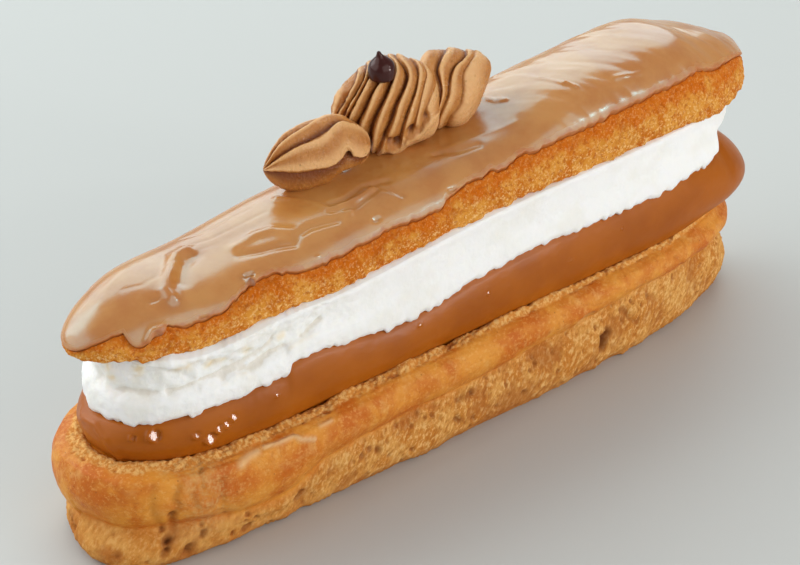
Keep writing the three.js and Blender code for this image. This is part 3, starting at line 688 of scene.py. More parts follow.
def choux_lid():
    s, side = columns_round(LID)
    edge = rise_at_edge(s, side)
    core = ICING_THICKNESS + GAP
    near_tip = 1.4 * smooth((-s - 0.9) / 0.1)
    loft = Loft()

    def bottom(x, y):
        return lid_bottom(x, y) + CONTACT

    loft.add(spine(LID, s, side, bottom))
    loft.add(ring(LID, s, side, -5.0, bottom))
    for t in np.linspace(0, 1, 6):
        loft.add(ring(LID, s, side, mix(-3.2, -2.0, t) + near_tip, bottom))
    for t in np.linspace(0.03, 0.985, 34):
        torn = smooth((0.5 - t) / 0.2) * smooth((s - 0.955) / 0.03)
        loft.add(dome_ring(s, side, edge * t, 0.5 + 1.3 * torn), t)
    for depth in (0.8, core):
        loft.add(dome_ring(s, side, edge, depth), 1)
    for t in TOP_SHARES:
        loft.add(dome_ring(s, side, mix(edge, 1, t), core), 1)
    points, share, n = loft.grid()
    x, y, z = np.moveaxis(points, -1, 0)
    grain, _ = cells(points, 0.9, 71)
    slanted = np.stack([0.8 * x + 0.6 * z, y, 0.8 * z - 0.6 * x], -1)
    push = 0.28 * (0.5 - grain) + 0.25 * layers(slanted, 0.8, 3, 75, stretch=(2.2, 1, 1))
    push += 0.25 * layers(points, 2.4, 2, 73) + 0.25 * layers(points, 7, 2, 79)
    fringe = (1 - smooth(share / 0.2)) * np.clip(layers(points * FLAT, 1.8, 3, 77) + 0.15, 0, 1)
    points[..., 2] -= 0.7 * fringe
    push[:2] = 0
    push[2:8] = 0.4 * np.abs(push[2:8])
    push[-8] *= 0.4
    push[-7:] = 0
    points = points + n * push[..., None]
    # sunk paints shade: hollows in the crumb are painted darker.
    return folded_grid("choux_lid_crumb", points, {"share": share, "sunk": np.clip(0.5 - push, 0, 1)})


# Folds in the icing: depth (below zero stands up), width, trail
FOLDS = (
    (0.75, 1.2, ((-53.6, 2.9, 48.7), (-56.6, 2.2, 48.7), (-59.3, -0.2, 48.8), (-62.1, -3, 48.5),
                 (-63.7, -4.9, 47.9), (-64, -6.4, 47.3))),
    (-0.4, 1.3, ((-53.5, 0.6, 48.8), (-56.5, -1, 48.7), (-60, -4.6, 48.2))),
    (-0.35, 0.8, ((-47.9, -5, 49), (-44.6, -6.5, 49.2), (-41.1, -7.7, 49.4), (-38.6, -8.7, 49.3),
                  (-36.6, -7.4, 50), (-33.9, -7.2, 50.3), (-28.7, -8.4, 50.4))),
    (0.35, 1.1, ((-47.2, -2.7, 49.3), (-42.7, -2.7, 50.1), (-39.7, -3.7, 50.4), (-37.4, -6, 50.3))),
    (0.4, 0.8, ((-32.8, 3.4, 51.3), (-29.5, -1.9, 51.6), (-27.5, -5.6, 51.4), (-25.5, -8.2, 50.8))),
    (-0.3, 0.9, ((-31.5, 0.6, 51.6), (-28.4, -3.9, 51.6), (-26.4, -7.2, 51.1))),
    (-0.06, 0.45, ((-51.5, 7.5, 48.1), (-48.4, 5.7, 48.9), (-44.2, 5.4, 49.5), (-37.9, 4.8, 50.5))),
    (-0.06, 0.45, ((-52.8, 4.3, 48.6), (-48.5, 2.7, 49.2), (-43.4, 2.1, 50), (-37, 1.6, 50.9))),
    (-0.05, 0.45, ((-51.7, 1.4, 48.9), (-48, 0.4, 49.3), (-43.1, -0.4, 50.1), (-37.2, -0.7, 50.9))),
    (-0.07, 0.5, ((-69.6, -0.3, 48.2), (-66.4, -1.7, 48.6), (-62.8, -1.2, 48.8))),
    (0.1, 1.2, ((-74, 0.5, 47), (-70.5, 2.5, 47.9), (-66, 4, 48.2))),
    (-0.25, 0.7, ((-27.2, -4.7, 51.6), (-24.4, -5.5, 51.7), (-19.6, -4.5, 52.3), (-14.8, -5.9, 52.4))),
    (0.25, 0.6, ((-26.2, -5.8, 51.5), (-22, -6.4, 51.6), (-17.9, -5.6, 52))),
    (-0.2, 0.5, ((-28.5, -6.2, 51.2), (-24, -7.8, 51.1), (-17.9, -6.7, 52))),
    (-0.2, 0.5, ((-17.6, -5.3, 52.3), (-14.7, -9.9, 50.9))),
    (-0.16, 0.8, ((-3.4, -4.8, 53.2), (1.6, -6.7, 53.2), (6.1, -7.5, 53.3))),
    (0.08, 0.7, ((0.5, -4.6, 53.5), (8.4, -5.5, 53.9), (15.9, -7.1, 54.7))),
    (0.35, 0.5, ((17.5, 4, 55.2), (18, 0.6, 55.6), (19.2, -1.1, 56.1))),
    (0.4, 0.45, ((30, -6, 58), (30.9, -7.8, 57.6))),
    (0.2, 0.5, ((25.1, 8.1, 55.8), (27.6, -1.6, 58), (29.7, -6.3, 58))),
    (0.2, 0.6, ((40, -9.5, 57.2), (45.9, -10.5, 56.8))),
    (0.5, 0.5, ((-70.9, -8.8, 42.7), (-69.6, -8.6, 44), (-67.6, -9.2, 44), (-66.6, -10, 42.8))),
    (-0.45, 0.45, ((-60.9, -11, 43.8), (-60, -11.2, 43.7))),
    (-0.35, 0.4, ((-64.2, -10.6, 43), (-63.3, -11, 43.3))),
    (-0.4, 0.45, ((-49.9, -9.1, 47.3), (-48.7, -9.4, 47.4))),
    (-0.2, 0.4, ((-67.4, -5.4, 47.2), (-66.2, -5.7, 47.2))),
    (-0.3, 0.4, ((-22.4, -11.2, 49.2), (-21.6, -11.4, 49.2))),
    (-0.3, 0.45, ((-5.2, -12.3, 49.6), (-4.2, -12.5, 49.6))),
    (-0.25, 0.5, ((-2.4, -5, 53.3), (-1, -5.3, 53.3))),
)
# Burst bubbles in the icing: depth, width, trail
BUBBLES = (
    (0.9, 0.55, ((-68.6, -9, 43.3), (-68.2, -9.3, 43.1))),
    (1, 0.55, ((-49.9, -10, 46.7), (-49.5, -10.3, 46.4))),
    (0.5, 0.3, ((-64.9, -10.6, 42.6),)),
    (0.5, 0.3, ((-56.4, -11.6, 44.6),)),
    (0.4, 0.3, ((-36.2, -12.1, 47.4),)),
)


def coffee_icing():
    s, side = columns_round(LID, ICING_COLUMNS)
    edge = rise_at_edge(s, side)
    loft = Loft()
    loft.add(dome_ring(s, side, 1, 0), 1)
    for t in np.linspace(0.975, 0.008, 82):
        loft.add(dome_ring(s, side, mix(edge, 1, t), 0.8 * (1 - smooth(t / 0.05))), t)
    outer_rows = len(loft.rings)
    for share, depth in ((0.995, 0.85), (0.99, 0.95), (1, 1.05)):
        loft.add(dome_ring(s, side, edge * share, depth))
    for t in (0.03, *TOP_SHARES):
        loft.add(dome_ring(s, side, mix(edge, 1, t), ICING_THICKNESS))
    points, share, n = loft.grid()
    x, y = points[..., 0], points[..., 1]
    fade = smooth(share / 0.12)
    far = smooth((x - 12) / 10)
    creased = np.stack([x + 0.9 * y, x - 0.2 * y, 0 * x], -1)
    ridges = np.abs(layers(creased, 5.5, 2, 85, stretch=(1, 2.6, 1)))
    push = fade * (0.16 * layers(points, 14, 2, 81) + 0.05 * layers(points, 3.4, 2, 83, stretch=(2.2, 0.8, 1)))
    push += far * fade * (0.06 - 0.18 * ridges + 0.05 * layers(creased, 2.2, 2, 99, stretch=(1, 3, 1)))
    softness = np.clip(1.25 - 0.25 * noise(points, 2.5, 93), 0.8, 1.5)
    pits = marks(points, BUBBLES)
    push -= marks(points, FOLDS) * softness + pits
    beads = np.clip(layers(points, 1.6, 2, 97) - 0.15, 0, 1) * (1 - smooth((share - 0.02) / 0.14))
    push += 0.18 * beads * (1 - far)
    push[outer_rows:] = 0
    points = points + n * push[..., None]
    # Painted shade: burst bubbles are painted dark brown.
    return folded_grid("coffee_icing_coat", points, {"share": share, "pit_shade": np.clip(pits, 0, 1)})


# ---- piped buttercream

# The rosette has its own axes: run goes to the right across the photo's view, away from the
# viewer and up. Each piece is a row of upright ovals. Its length, the middle and the half height
# of its ovals follow the share of the way from one end to the other.
ROSETTE = np.array([-7.6, 2.8, 0.0])
TURN = math.radians(41)
RUN_WAY = np.array([math.cos(TURN), -math.sin(TURN), 0])
AWAY = np.array([math.sin(TURN), math.cos(TURN), 0])
UP = np.array([0, 0, 1.0])
FLATNESS = 0.8
# The angle at which the swirls' ovals start and end, in degrees up from the front
SEAM_ANGLE = -66


def going_round(at_seam, *stations):
    """A crest's share of the way along its piece for each angle round it."""
    return along((SEAM_ANGLE, at_seam), *stations, (SEAM_ANGLE + 360, at_seam))


# The swirls' crests have weights for how high they stand. The lip is the angle below which the
# strands end, and the pockets under it are given as share, angle, their two widths, and depth.
SWIRL = dict(
    seed=95, ragged=True, run=(-9.9, 10.2), away=(-1, 5), middle=along((0, 61.45), (0.8, 61.25), (1, 60.05)),
    half=along((0, 5), (0.15, 6), (0.26, 7.5), (0.37, 8.7), (0.49, 9.3), (0.6, 9.1), (0.71, 8.3),
               (0.81, 7.6), (0.9, 7.8), (1, 9)),
    ends=(0.25, 0.5, 0.22, 0.5), depth=1.9,
    weights=(0.6, 0.9, 1, 1, 1, 1, 0.8, 0.5, 0.35, 0.3), crests=(
        going_round(0.02, (0, 0.05), (25, 0.085), (45, 0.14), (65, 0.21), (98, 0.24), (200, 0.17)),
        going_round(0.06, (0, 0.115), (25, 0.165), (45, 0.245), (65, 0.31), (98, 0.32), (200, 0.24)),
        going_round(0.09, (0, 0.15), (25, 0.21), (45, 0.285), (65, 0.355), (98, 0.383), (200, 0.3)),
        going_round(0.18, (-7, 0.247), (18, 0.32), (38, 0.385), (55, 0.473), (72, 0.49), (100, 0.45),
                    (200, 0.39)),
        going_round(0.35, (-28, 0.363), (-8, 0.38), (10, 0.427), (29, 0.499), (45, 0.544), (62, 0.578),
                    (77, 0.568), (95, 0.515), (200, 0.5)),
        going_round(0.46, (-24, 0.489), (0, 0.556), (18, 0.598), (36, 0.66), (54, 0.695), (68, 0.676),
                    (94, 0.59), (200, 0.6)),
        going_round(0.6, (-14, 0.66), (14, 0.723), (31, 0.766), (50, 0.79), (70, 0.796), (90, 0.77),
                    (112, 0.71), (200, 0.72)),
        going_round(0.7, (-20, 0.751), (4, 0.786), (23, 0.813), (44, 0.84), (66, 0.865), (85, 0.845),
                    (112, 0.8), (200, 0.8)),
        going_round(0.79, (3, 0.85), (25, 0.893), (48, 0.94), (80, 0.95), (112, 0.92), (200, 0.9)),
    ),
    lip=along((0.3, -90), (0.36, -80), (0.41, -60), (0.45, -40), (0.49, -30), (0.543, -38), (0.597, -46),
              (0.652, -42), (0.697, -32), (0.742, -26), (0.806, -28), (0.878, -10), (0.94, -2), (1, -2)),
    pockets=((0.525, -33, 0.035, 9, 1.5), (0.585, -38, 0.03, 8, 1.3), (0.72, -24, 0.045, 8, 1.4),
             (0.86, -4, 0.03, 8, 0.8)),
)
TAIL = dict(
    seed=99, ragged=False, run=(5.4, 19.9), away=(5.9, 14.4),
    middle=along((0, 62), (0.4, 61.2), (0.66, 60.4), (0.84, 61.3), (1, 62.8)),
    half=along((0, 7.5), (0.54, 7.6), (0.66, 7.2), (0.76, 6.4), (0.84, 5.5), (0.92, 4.4), (1, 3.8)),
    ends=(0.2, 0.5, 0.22, 0.5), depth=1.8, weights=(0.7, 0.9, 0.5, 0.25), crests=(
        going_round(0.24, (-34, 0.27), (-14, 0.29), (5, 0.327), (19, 0.339), (34, 0.313), (50, 0.285),
                    (71, 0.328), (93, 0.396), (200, 0.36)),
        going_round(0.27, (-30, 0.31), (-14, 0.345), (-1, 0.391), (11, 0.428), (25, 0.44), (39, 0.466),
                    (52, 0.51), (64, 0.6), (80, 0.67), (110, 0.66), (200, 0.56)),
        going_round(0.4, (-28, 0.472), (-6, 0.584), (10, 0.615), (22, 0.62), (33, 0.612), (46, 0.63),
                    (58, 0.69), (80, 0.78), (110, 0.78), (200, 0.74)),
    ),
    lip=None, pockets=(),
)
# The deepest groove in the shell, as a share of the oval's half height
DEEPEST = 0.2
SHELL = dict(
    seed=91, ragged=False, run=(-21.9, -2.7), away=(-14, -6),
    middle=along((0, 56.2), (0.15, 56.9), (0.36, 57.2), (0.6, 57.9), (0.73, 58.5), (0.8, 58.1), (0.9, 57.5),
                 (1, 57)),
    half=along((0, 7), (0.12, 7.2), (0.3, 6.8), (0.5, 6.5), (0.6, 6.4), (0.71, 5.5), (0.8, 4.6), (0.9, 3.8),
               (1, 3.6)),
    ends=(0.5, 0.66, 0.14, 0.5),
    # each crest's angle along the shell, with how deep the groove above it is and how close
    crests=(
        (along((0, -80), (1, -80)), 0.17, 0.86),
        (along((0, 8), (0.26, 2), (0.47, -3), (0.58, -8), (0.7, -13), (0.76, -2), (0.8, 6), (0.85, -8),
               (1, -30)), 0.05, 0.62),
        (along((0, 16), (0.09, 25), (0.18, 31), (0.33, 39), (0.53, 41), (0.6, 46), (0.67, 61), (0.76, 75),
               (0.92, 96), (1, 100)), 0.18, 0.24),
        (along((0, 38), (0.07, 52), (0.13, 63), (0.26, 72), (0.42, 81), (0.48, 93), (0.6, 110), (1, 130)),
         DEEPEST, 0.3),
        (along((0, 75), (0.1, 95), (0.4, 118), (1, 150)), DEEPEST, 0.3),
        (along((0, 120), (0.5, 150), (1, 180)), DEEPEST, 0.3),
        (along((0, 170), (0.5, 200), (1, 215)), DEEPEST, 0.3),
        (along((0, 225), (1, 250)), 0.15, 0.3),
    ),
)
DROP = dict(foot=(-9.3, 1.8, 68.35), radius=2.55, height=5.65, bend=0.7)
# How many points each strand has across it, and how many each oval and each ring of the drop has
STRAND_ROWS, SWIRL_AROUND, SHELL_ROWS, SHELL_AROUND, DROP_AROUND = 24, 210, 190, 230, 64


def oval_size(piece, t):
    """How much of their full size the ovals have near the two ends."""
    near, blunt, far, blunt_far = piece["ends"]
    a, b = np.clip(t / near, 0, 1), np.clip((1 - t) / far, 0, 1)
    return (a * (2 - a)) ** blunt * (b * (2 - b)) ** blunt_far


def oval_points(piece, t, angle, lift):
    """Points of a piece at a share t along it and an angle (degrees) up from its front."""
    run = mix(*piece["run"], t)
    size = oval_size(piece, t)
    half = piece["half"](t) * size
    lift = lift * np.minimum(1, 1.7 * size)
    back = mix(*piece["away"], t) - (FLATNESS * half + lift) * np.cos(np.radians(angle))
    height = piece["middle"](t) + (half + lift) * np.sin(np.radians(angle))
    return ROSETTE + run[..., None] * RUN_WAY + back[..., None] * AWAY + height[..., None] * UP


def strand_height(f):
    """Height across one strand: rounded, steeper on its left, with a groove at both sides."""
    left = 1 - np.clip(1 - f / 0.2, 0, 1) ** 2
    right = 1 - np.clip((f - 0.2) / 0.8, 0, 1) ** 1.5
    return left * right


def piped_strands(piece):
    """A swirl: strands that go over it from the front to the back, side by side."""
    angle = np.linspace(SEAM_ANGLE, SEAM_ANGLE + 360, SWIRL_AROUND, endpoint=False)
    lines = [np.zeros(SWIRL_AROUND), *(curve(angle) for curve in piece["crests"]), np.ones(SWIRL_AROUND)]
    share, height, painted_crest_light = [], [], []
    for k, weight in enumerate(piece["weights"]):
        width = (lines[k + 1] - lines[k]) * (piece["run"][1] - piece["run"][0])
        room = np.clip(width / 2.6, 0.25, 1)
        last = k == len(lines) - 2
        for f in np.linspace(0, 1, STRAND_ROWS, endpoint=last):
            if k == 0:
                f = f * f
            if last:
                f = 1 - (1 - f) ** 2
            rounded = strand_height(f)
            share.append(mix(lines[k], lines[k + 1], f))
            height.append((rounded - 0.75) * room * weight)
            # Painted light and shade: each row is painted lighter on a crest, as highlight, and darker in a
            # groove, as shade.
            painted_crest_light.append(np.full(SWIRL_AROUND, 1 - weight * (1 - rounded)))
    t, painted_crest_light = np.array(share), np.array(painted_crest_light)
    angle = np.broadcast_to(angle, t.shape)
    lift = piece["depth"] * np.array(height) * (1 - 0.7 * hill(angle, 104, 28))
    if piece["lip"]:
        gap = angle - piece["lip"](t)
        lower = (1 - smooth((gap + 3) / 8)) * (1 - smooth((angle - 200) / 40))
        lift = mix(lift, 0.35 + 0.5 * hill(gap, -9, 9), lower)
        painted_crest_light = np.maximum(painted_crest_light, lower)
    # Pockets sink the surface and are also painted darker, as shade.
    for where, turn, wide, tall, deep in piece["pockets"]:
        dip = hill(t, where, wide) * hill(angle, turn, tall)
        lift = lift - deep * dip
        painted_crest_light = painted_crest_light * (1 - 0.8 * dip)
    points = oval_points(piece, t, angle, lift)
    points[0], points[-1] = points[0].mean(0), points[-1].mean(0)
    # The second value is the groove attribute, which paints shade in the grooves and light on the crests.
    return roughened(piece, points, t, angle), 1 - painted_crest_light


def piped_shell(piece):
    """A teardrop with a raised tip and long ridges that meet there."""
    t = np.concatenate([[0], np.linspace(0.05, 1, SHELL_ROWS) ** 1.6, [1]])
    t[1:-1] = mix(0.0015, 0.9985, (t[1:-1] - t[1]) / (t[-2] - t[1]))
    angle = np.linspace(-90, 270, SHELL_AROUND, endpoint=False)
    sunk = np.zeros((len(t), SHELL_AROUND))
    curves, depths, grooves = zip(*piece["crests"])
    starts = [curve(t)[:, None] for curve in curves]
    for lower, upper, deep, groove in zip(starts, (*starts[1:], starts[0] + 360), depths, grooves):
        f = (angle[None] - lower) / (upper - lower)
        low = np.where(f < groove, smooth(f / groove), np.clip((1 - f) / (1 - groove), 0, 1) ** 1.4)
        sunk = np.where((f >= 0) & (f < 1), deep * low, sunk)
    t = np.broadcast_to(t[:, None], sunk.shape)
    angle = np.broadcast_to(angle, sunk.shape)
    lift = -sunk * piece["half"](t) * (1 - 0.5 * smooth((t - 0.85) / 0.15))
    lift = lift + 0.35 * hill(angle, -45, 30) * smooth(t / 0.2)
    lift = lift - 1.3 * hill(t, 0.795, 0.028) * hill(angle, -11, 12)
    rim = np.hypot((t - 0.79) / 0.05, (angle + 4) / 20)
    lift = lift + 0.35 * hill(rim, 1, 0.28) * (angle > -22)
    # sunk / DEEPEST is the groove attribute, which paints shade in the shell's grooves and light on its
    # ridges.
    return roughened(piece, oval_points(piece, t, angle, lift), t, angle), sunk / DEEPEST


def roughened(piece, points, t, angle):
    """Cream from a nozzle: fine streaks along the strands, soft lumps and perhaps a ragged left end."""
    n, seed = normals_of(points), piece["seed"]
    along_strand = np.stack([t * 60, angle / 26, np.zeros_like(t)], -1)
    push = 0.045 * layers(along_strand, 1.4, 3, seed) + 0.07 * layers(points, 2.4, 3, seed + 5)
    push += 0.04 * noise(points, 0.5, seed + 7)
    if piece["ragged"]:
        torn = (1 - smooth((t - 0.1) / 0.2)) * smooth((angle + 30) / 60) * (1 - smooth((angle - 150) / 60))
        chunk, _ = cells(points, 2.0, seed + 11)
        push += torn * (0.3 * (0.55 - chunk) + 0.3 * layers(points, 1.3, 3, seed + 13))
    push[:2] = 0
    push[-2:] = 0
    return points + n * push[..., None]


def chocolate_drop():
    profile = spline_rows((
        (0, 0), (0.7, 0), (0.94, 0.06), (1, 0.22), (0.97, 0.42), (0.82, 0.57), (0.55, 0.7), (0.32, 0.8),
        (0.2, 0.89), (0.12, 0.97), (0, 1),
    ), 60)
    radius, height = np.maximum(profile[:, :1], 0) * DROP["radius"], profile[:, 1:]
    lean = -DROP["bend"] * smooth((height - 0.6) / 0.4)
    phi = np.linspace(0, 2 * np.pi, DROP_AROUND, endpoint=False)
    x, y, z = radius * np.cos(phi) + lean, radius * np.sin(phi), height * DROP["height"] + 0 * phi
    return tube_grid("chocolate_drop_shape", np.stack([x, y, z], -1) + np.array(DROP["foot"]), {})


# ---- materials


def linear(*colour):
    """A colour given as it shows on a screen, from 0 to 255."""
    shares = [value / 255 for value in colour]
    return (*(v / 12.92 if v <= 0.04045 else ((v + 0.055) / 1.055) ** 2.4 for v in shares), 1)


class Shader:
    """A node material written as a few calls. Sizes are in millimetres, and colours are given as
    they show on a screen."""

    def __init__(self, name, roughness, glow=None, **values):
        """glow is how much light goes under the surface, and how far red, green and blue go."""
        self.material = bpy.data.materials.new(name)
        self.material.use_nodes = True
        self.tree = self.material.node_tree
        self.surface = next(n for n in self.tree.nodes if n.type == "BSDF_PRINCIPLED")
        if glow:
            weight, *reach = glow
            values.update(Subsurface_Weight=weight, Subsurface_Radius=[k / 1000 for k in reach])
            values.update(Subsurface_Scale=1.0)
        for key, value in dict(values, Roughness=roughness).items():
            self.give(self.surface.inputs[key.replace("_", " ")], value)

    def give(self, socket, value):
        """Sets a socket to a value, or links another node's output to it."""
        if isinstance(value, bpy.types.NodeSocket):
            self.tree.links.new(value, socket)
        else:
            socket.default_value = value

    def node(self, kind, inputs, **values):
        made = self.tree.nodes.new("ShaderNode" + kind)
        for key, value in values.items():
            setattr(made, key, value)
        for key, value in inputs.items():
            self.give(made.inputs[key], value)
        return made

    def attribute(self, name):
        return self.node("Attribute", {}, attribute_name=name).outputs["Fac"]

    def place(self, stretch=(1, 1, 1), tilt=0):
        """Places on the piece, stretched and turned by tilt degrees about Y."""
        return self.node("Mapping", {
            "Vector": self.node("TexCoord", {}).outputs["Object"],
            "Scale": [k / 1000 for k in stretch],
            "Rotation": (0, math.radians(tilt), 0),
        }, vector_type="TEXTURE").outputs["Vector"]

    def noise(self, size, detail=3, rough=0.5, stretch=(1, 1, 1), distort=0, tilt=0):
        return self.node("TexNoise", {
            "Vector": self.place(stretch, tilt), "Scale": 1 / size, "Detail": detail,
            "Roughness": rough, "Distortion": distort,
        }).outputs["Fac"]

    def cells(self, size):
        return self.node("TexVoronoi", {"Vector": self.place(), "Scale": 1 / size}).outputs["Distance"]

    def ramp(self, value, low, high, top=1):
        """0 where value is low, and smoothly up to top where it is high."""
        return self.node("MapRange", {
            "Value": value, "From Min": low, "From Max": high, "To Max": top,
        }, interpolation_type="SMOOTHSTEP").outputs["Result"]

    def maths(self, operation, *values):
        return self.node("Math", dict(enumerate(values)), operation=operation).outputs["Value"]

    def times(self, a, b):
        return self.maths("MULTIPLY", a, b)

    def plus(self, a, b):
        return self.maths("ADD", a, b)

    def between(self, value, low, high):
        """low where value is 0, and high where it is 1."""
        return self.maths("MULTIPLY_ADD", value, high - low, low)

    def blend(self, factor, a, b):
        a, b = (linear(*k) if isinstance(k, tuple) else k for k in (a, b))
        return self.node("Mix", {0: factor, 6: a, 7: b}, data_type="RGBA").outputs[2]

    def coats(self, colour, *coats):
        """colour with others laid over it, each where its mask is high."""
        for mask, coat in coats:
            colour = self.blend(mask, colour, coat)
        return colour

    def finished(self, colour, relief, roughness=None):
        """The material with its colour, its relief (height, depth, strength) and its roughness."""
        height, depth, strength = relief
        bump = self.node("Bump", {"Height": height, "Distance": depth / 1000, "Strength": strength})
        self.give(self.surface.inputs["Base Color"], colour)
        self.give(self.surface.inputs["Normal"], bump.outputs["Normal"])
        if roughness:
            self.give(self.surface.inputs["Roughness"], roughness)
        return self.material


def crust_material():
    m = Shader("baked_crust", 0.6, glow=(0.04, 1.2, 0.8, 0.4), Specular_IOR_Level=0.2)
    crumb, foot, pit_shade, stale, flake, edge, sunk, baked, fibrous = (
        m.attribute(k) for k in ("crumb", "foot", "pit_shade", "stale", "flake", "edge", "sunk", "baked", "fibrous")
    )
    fine = m.noise(0.7, 4, 0.65)
    strands = m.noise(0.55, 4, 0.65, stretch=(2.2, 1.3, 1), tilt=-48)
    golden = m.coats(
        m.blend(m.ramp(m.noise(8, 4, 0.6, distort=0.5), 0.36, 0.66), (226, 150, 56), (200, 104, 24)),
        (m.ramp(m.noise(3.2, 4, 0.7), 0.5, 0.72, 0.5), (228, 172, 98)),
        (m.times(baked, m.ramp(m.noise(2.6, 4, 0.6), 0.3, 0.6, 0.85)), (196, 96, 14)),
        (m.ramp(m.noise(1.1, 3, 0.6), 0.58, 0.72, 0.3), (184, 94, 24)),
        (m.times(m.ramp(m.cells(1.3), 0.16, 0.06), m.ramp(m.noise(4, 2), 0.5, 0.6, 0.6)), (150, 78, 26)),
        (m.ramp(fine, 0.52, 0.64, 0.35), (236, 178, 98)),
    )
    rough_foot = m.coats(
        m.blend(m.ramp(m.noise(4.5, 4, 0.65), 0.38, 0.64), (218, 156, 78), (202, 128, 48)),
        (m.times(m.ramp(strands, 0.5, 0.62), fibrous), (238, 190, 120)),
        (m.times(m.ramp(strands, 0.46, 0.36, 0.7), fibrous), (168, 96, 36)),
        # painted shade in the foot's hollows
        (m.ramp(sunk, 0.5, 0.85, 0.6), (172, 98, 38)),
        (m.times(edge, 0.5), (184, 108, 44)),
    )
    grains = m.coats(
        m.blend(m.ramp(fine, 0.42, 0.6), (214, 138, 58), (238, 184, 110)),
        # painted shade in the crumb's hollows
        (m.ramp(sunk, 0.48, 0.68, 0.7), (176, 90, 26)),
    )
    colour = m.coats(
        m.blend(foot, golden, rough_foot),
        (crumb, grains),
        (m.times(stale, m.ramp(fine, 0.3, 0.8)), (208, 160, 100)),
        (m.times(flake, 0.8), (234, 190, 138)),
        # painted shade inside cracks, holes and pits
        (pit_shade, (104, 50, 14)),
    )
    matte = m.maths("MAXIMUM", crumb, foot)
    grainy = m.times(m.noise(0.42, 4, 0.7), m.between(matte, 0.5, 1))
    wrinkled = m.times(m.noise(1.7, 4, 0.65, stretch=(1.6, 1.6, 1), distort=0.6), m.between(matte, 1.5, 0.5))
    return m.finished(colour, (m.plus(grainy, wrinkled), 0.26, 0.85), m.between(matte, 0.5, 0.8))


def lid_material():
    m = Shader("lid_crumb", 0.7, glow=(0.08, 2, 1, 0.4), Specular_IOR_Level=0.1)
    share = m.attribute("share")
    patches = m.noise(4, 4, 0.65)
    pale = m.between(m.ramp(share, 0.7, 0.05), 0.3, 0.85)
    colour = m.coats(
        m.blend(m.ramp(patches, 0.4, 0.62), (222, 150, 58), (202, 112, 20)),
        (m.ramp(m.plus(share, m.between(patches, -0.8, 0.8)), 0.3, 0.9, 0.8), (206, 102, 8)),
        (m.times(m.ramp(m.noise(0.55, 4, 0.7), 0.48, 0.66), pale), (248, 206, 138)),
        (m.ramp(m.noise(0.9, 3, 0.6), 0.46, 0.34, 0.6), (176, 80, 8)),
        # painted shade in the crumb's hollows
        (m.ramp(m.attribute("sunk"), 0.52, 0.85, 0.5), (176, 82, 10)),
    )
    return m.finished(colour, (m.noise(0.42, 4, 0.75), 0.25, 0.8))


def cream_material():
    m = Shader("coffee_cream_gloss", 0.22, glow=(0.15, 2, 1.4, 0.4), Specular_IOR_Level=0.22)
    wet = m.attribute("wet")
    colour = m.blend(m.ramp(m.noise(12, 3), 0.35, 0.7), (172, 92, 12), (158, 81, 8))
    beads = m.times(wet, m.times(m.noise(0.5, 2), 0.5))
    roughness = m.plus(m.times(wet, -0.22), m.between(m.noise(2.5, 3), 0.3, 0.4))
    return m.finished(colour, (m.plus(m.noise(1.2, 3, 0.6), beads), 0.03, 0.6), roughness)


def white_material():
    m = Shader("whipped_white", 0.55, glow=(0.35, 2.5, 2.2, 1.8))
    colour = m.coats(
        m.blend(m.ramp(m.noise(6, 3), 0.4, 0.7), (252, 251, 248), (246, 244, 238)),
        (m.times(m.attribute("torn"), m.ramp(m.noise(3.2, 4, 0.6), 0.46, 0.66, 0.3)), (234, 227, 212)),
        # painted shade in hollows and creases
        (m.ramp(m.attribute("sunk"), 0.7, 1.2), (224, 216, 202)),
        (m.times(m.attribute("stain"), 0.75), (236, 206, 140)),
    )
    return m.finished(colour, (m.noise(0.8, 4, 0.7), 0.2, 0.8))


def icing_material():
    """The tint takes red out of the highlights, which the warm colour under them puts back."""
    m = Shader("coffee_icing_gloss", 0.2, glow=(0.2, 3, 1.7, 0.8), Specular_IOR_Level=0.9, IOR=1.6,
               Specular_Tint=(0.4, 0.92, 1, 1))
    share = m.attribute("share")
    edge = m.plus(share, m.between(m.noise(1.6, 4, 0.65), -0.2, 0.2))
    colour = m.coats(
        m.blend(m.ramp(m.noise(10, 4, 0.6), 0.38, 0.66), (202, 138, 72), (190, 120, 56)),
        (m.ramp(edge, 0.12, 0.03, 0.9), (190, 104, 26)),
        # painted shade in burst bubbles
        (m.times(m.attribute("pit_shade"), 0.8), (136, 60, 14)),
    )
    roughness = m.plus(m.ramp(share, 0.16, 0.04, 0.35), m.between(m.noise(3, 3), 0.15, 0.29))
    return m.finished(colour, (m.noise(0.7, 3, 0.6), 0.02, 0.4), roughness)


def buttercream_material():
    m = Shader("buttercream_satin", 0.42, glow=(0.08, 3, 1.7, 0.8), Specular_IOR_Level=0.5)
    groove = m.attribute("groove")
    # Painted light and shade: crests are painted lighter as highlight and grooves darker as shade.
    colour = m.coats(
        m.blend(m.ramp(m.noise(2.5, 4, 0.6), 0.35, 0.7), (188, 120, 54), (202, 137, 68)),
        (m.ramp(groove, 0.22, 0), (232, 178, 118)),
        (m.ramp(groove, 0.35, 0.95), (120, 56, 14)),
    )
    pores = m.times(m.ramp(m.cells(1.5), 0.13, 0.07), m.ramp(m.noise(1.9, 2), 0.5, 0.56))
    relief = m.maths("SUBTRACT", m.noise(0.6, 4, 0.75), pores)
    roughness = m.maths("SUBTRACT", 0.38, m.ramp(m.noise(2.6, 3), 0.48, 0.6, 0.22))
    return m.finished(colour, (relief, 0.3, 0.95), roughness)


def chocolate_material():
    m = Shader("dark_chocolate", 0.18, Specular_IOR_Level=0.4, Specular_Tint=(1, 0.82, 0.78, 1))
    colour = m.blend(m.noise(2, 3), (66, 24, 20), (48, 15, 12))
    return m.finished(colour, (m.noise(1.4, 2), 0.02, 0.25), m.between(m.noise(1.5, 3), 0.14, 0.28))


# ---- pieces


def show(item, node, material):
    """Puts a piece in the place of its CAD node."""
    item.data.materials.append(material)
    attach(item, "root")
    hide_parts(node)


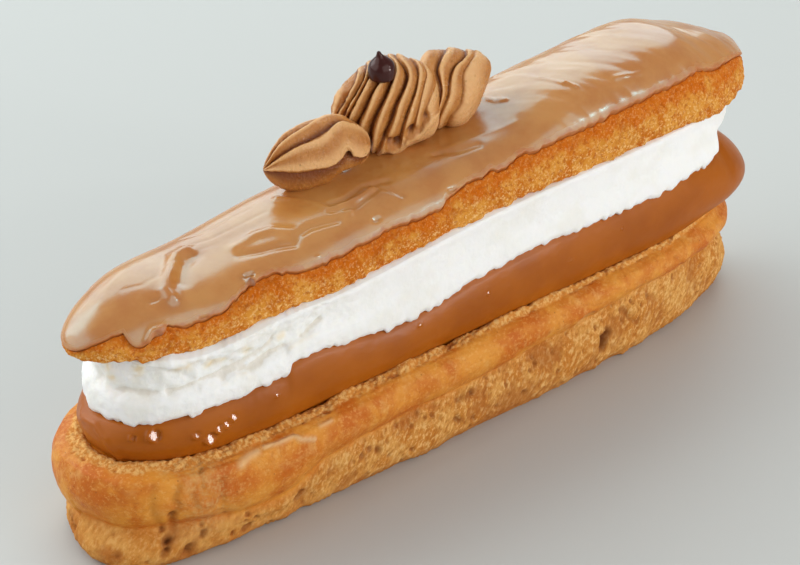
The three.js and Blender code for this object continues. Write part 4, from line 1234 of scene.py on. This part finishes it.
show(choux_base(), "choux_base", crust_material())
show(coffee_cream(), "coffee_cream", cream_material())
show(whipped_cream(), "whipped_cream", white_material())
show(choux_lid(), "choux_lid", lid_material())
show(coffee_icing(), "coffee_icing", icing_material())
piped = buttercream_material()
# Each piece's groove attribute paints shade in its grooves and light on its crests.
for title, node, (grid, groove) in (
    ("piped_shell", "buttercream_shell", piped_shell(SHELL)),
    ("piped_swirl", "buttercream_swirl", piped_strands(SWIRL)),
    ("piped_tail", "buttercream_tail", piped_strands(TAIL)),
):
    show(tube_grid(title, grid, {"groove": groove}), node, piped)
show(chocolate_drop(), "chocolate_drop", chocolate_material())

# ---- floor and light

# Half the floor's side, in metres
FLOOR = 3.0
# The lamps: place in millimetres, power in watts, width and height in metres, colour
LAMPS = {
    "back_window": ((200, 720, 600), 12.6, 2.0, 0.9, (0.84, 0.97, 1)),
    "left_window": ((-700, 480, 560), 6.5, 1.5, 0.9, (0.97, 0.99, 1)),
    "front_fill": ((30, -765, 430), 3.3, 1.0, 0.8, (1, 0.99, 0.96)),
    "small_lamp": ((430, -520, 340), 0.45, 0.05, 0.05, (1, 1, 1)),
    "low_lamp": (LOW_LAMP, 0.55, 0.07, 0.05, (1, 1, 1)),
}
LAMPS_AIM = (0, 0, 40)
ROOM_LIGHT, ROOM_COLOUR = 0.3, (0.98, 0.99, 1.0, 1)


def add_floor():
    mesh = bpy.data.meshes.new("floor")
    corners = [(x * FLOOR, y * FLOOR, 0) for x, y in ((-1, -1), (1, -1), (1, 1), (-1, 1))]
    mesh.from_pydata(corners, [], [(0, 1, 2, 3)])
    m = Shader("pale_floor", 0.6, Base_Color=linear(190, 189, 185))
    mesh.materials.append(m.material)
    floor = add("floor", mesh)


def add_lamp(name, place, power, width, height, colour):
    data = bpy.data.lights.new(name, "AREA")
    data.shape = "RECTANGLE"
    data.size, data.size_y = width, height
    data.energy = power
    data.color = colour
    face(add(name, data), place, Vector(LAMPS_AIM) - Vector(place))


def add_world():
    world = bpy.data.worlds.new("soft_room")
    bpy.context.scene.world = world
    world.use_nodes = True
    sky = next(n for n in world.node_tree.nodes if n.type == "BACKGROUND")
    sky.inputs["Color"].default_value = ROOM_COLOUR
    sky.inputs["Strength"].default_value = ROOM_LIGHT


add_floor()
add_world()
for title, lamp in LAMPS.items():
    add_lamp(title, *lamp)
bpy.context.scene.view_settings.view_transform = "Standard"
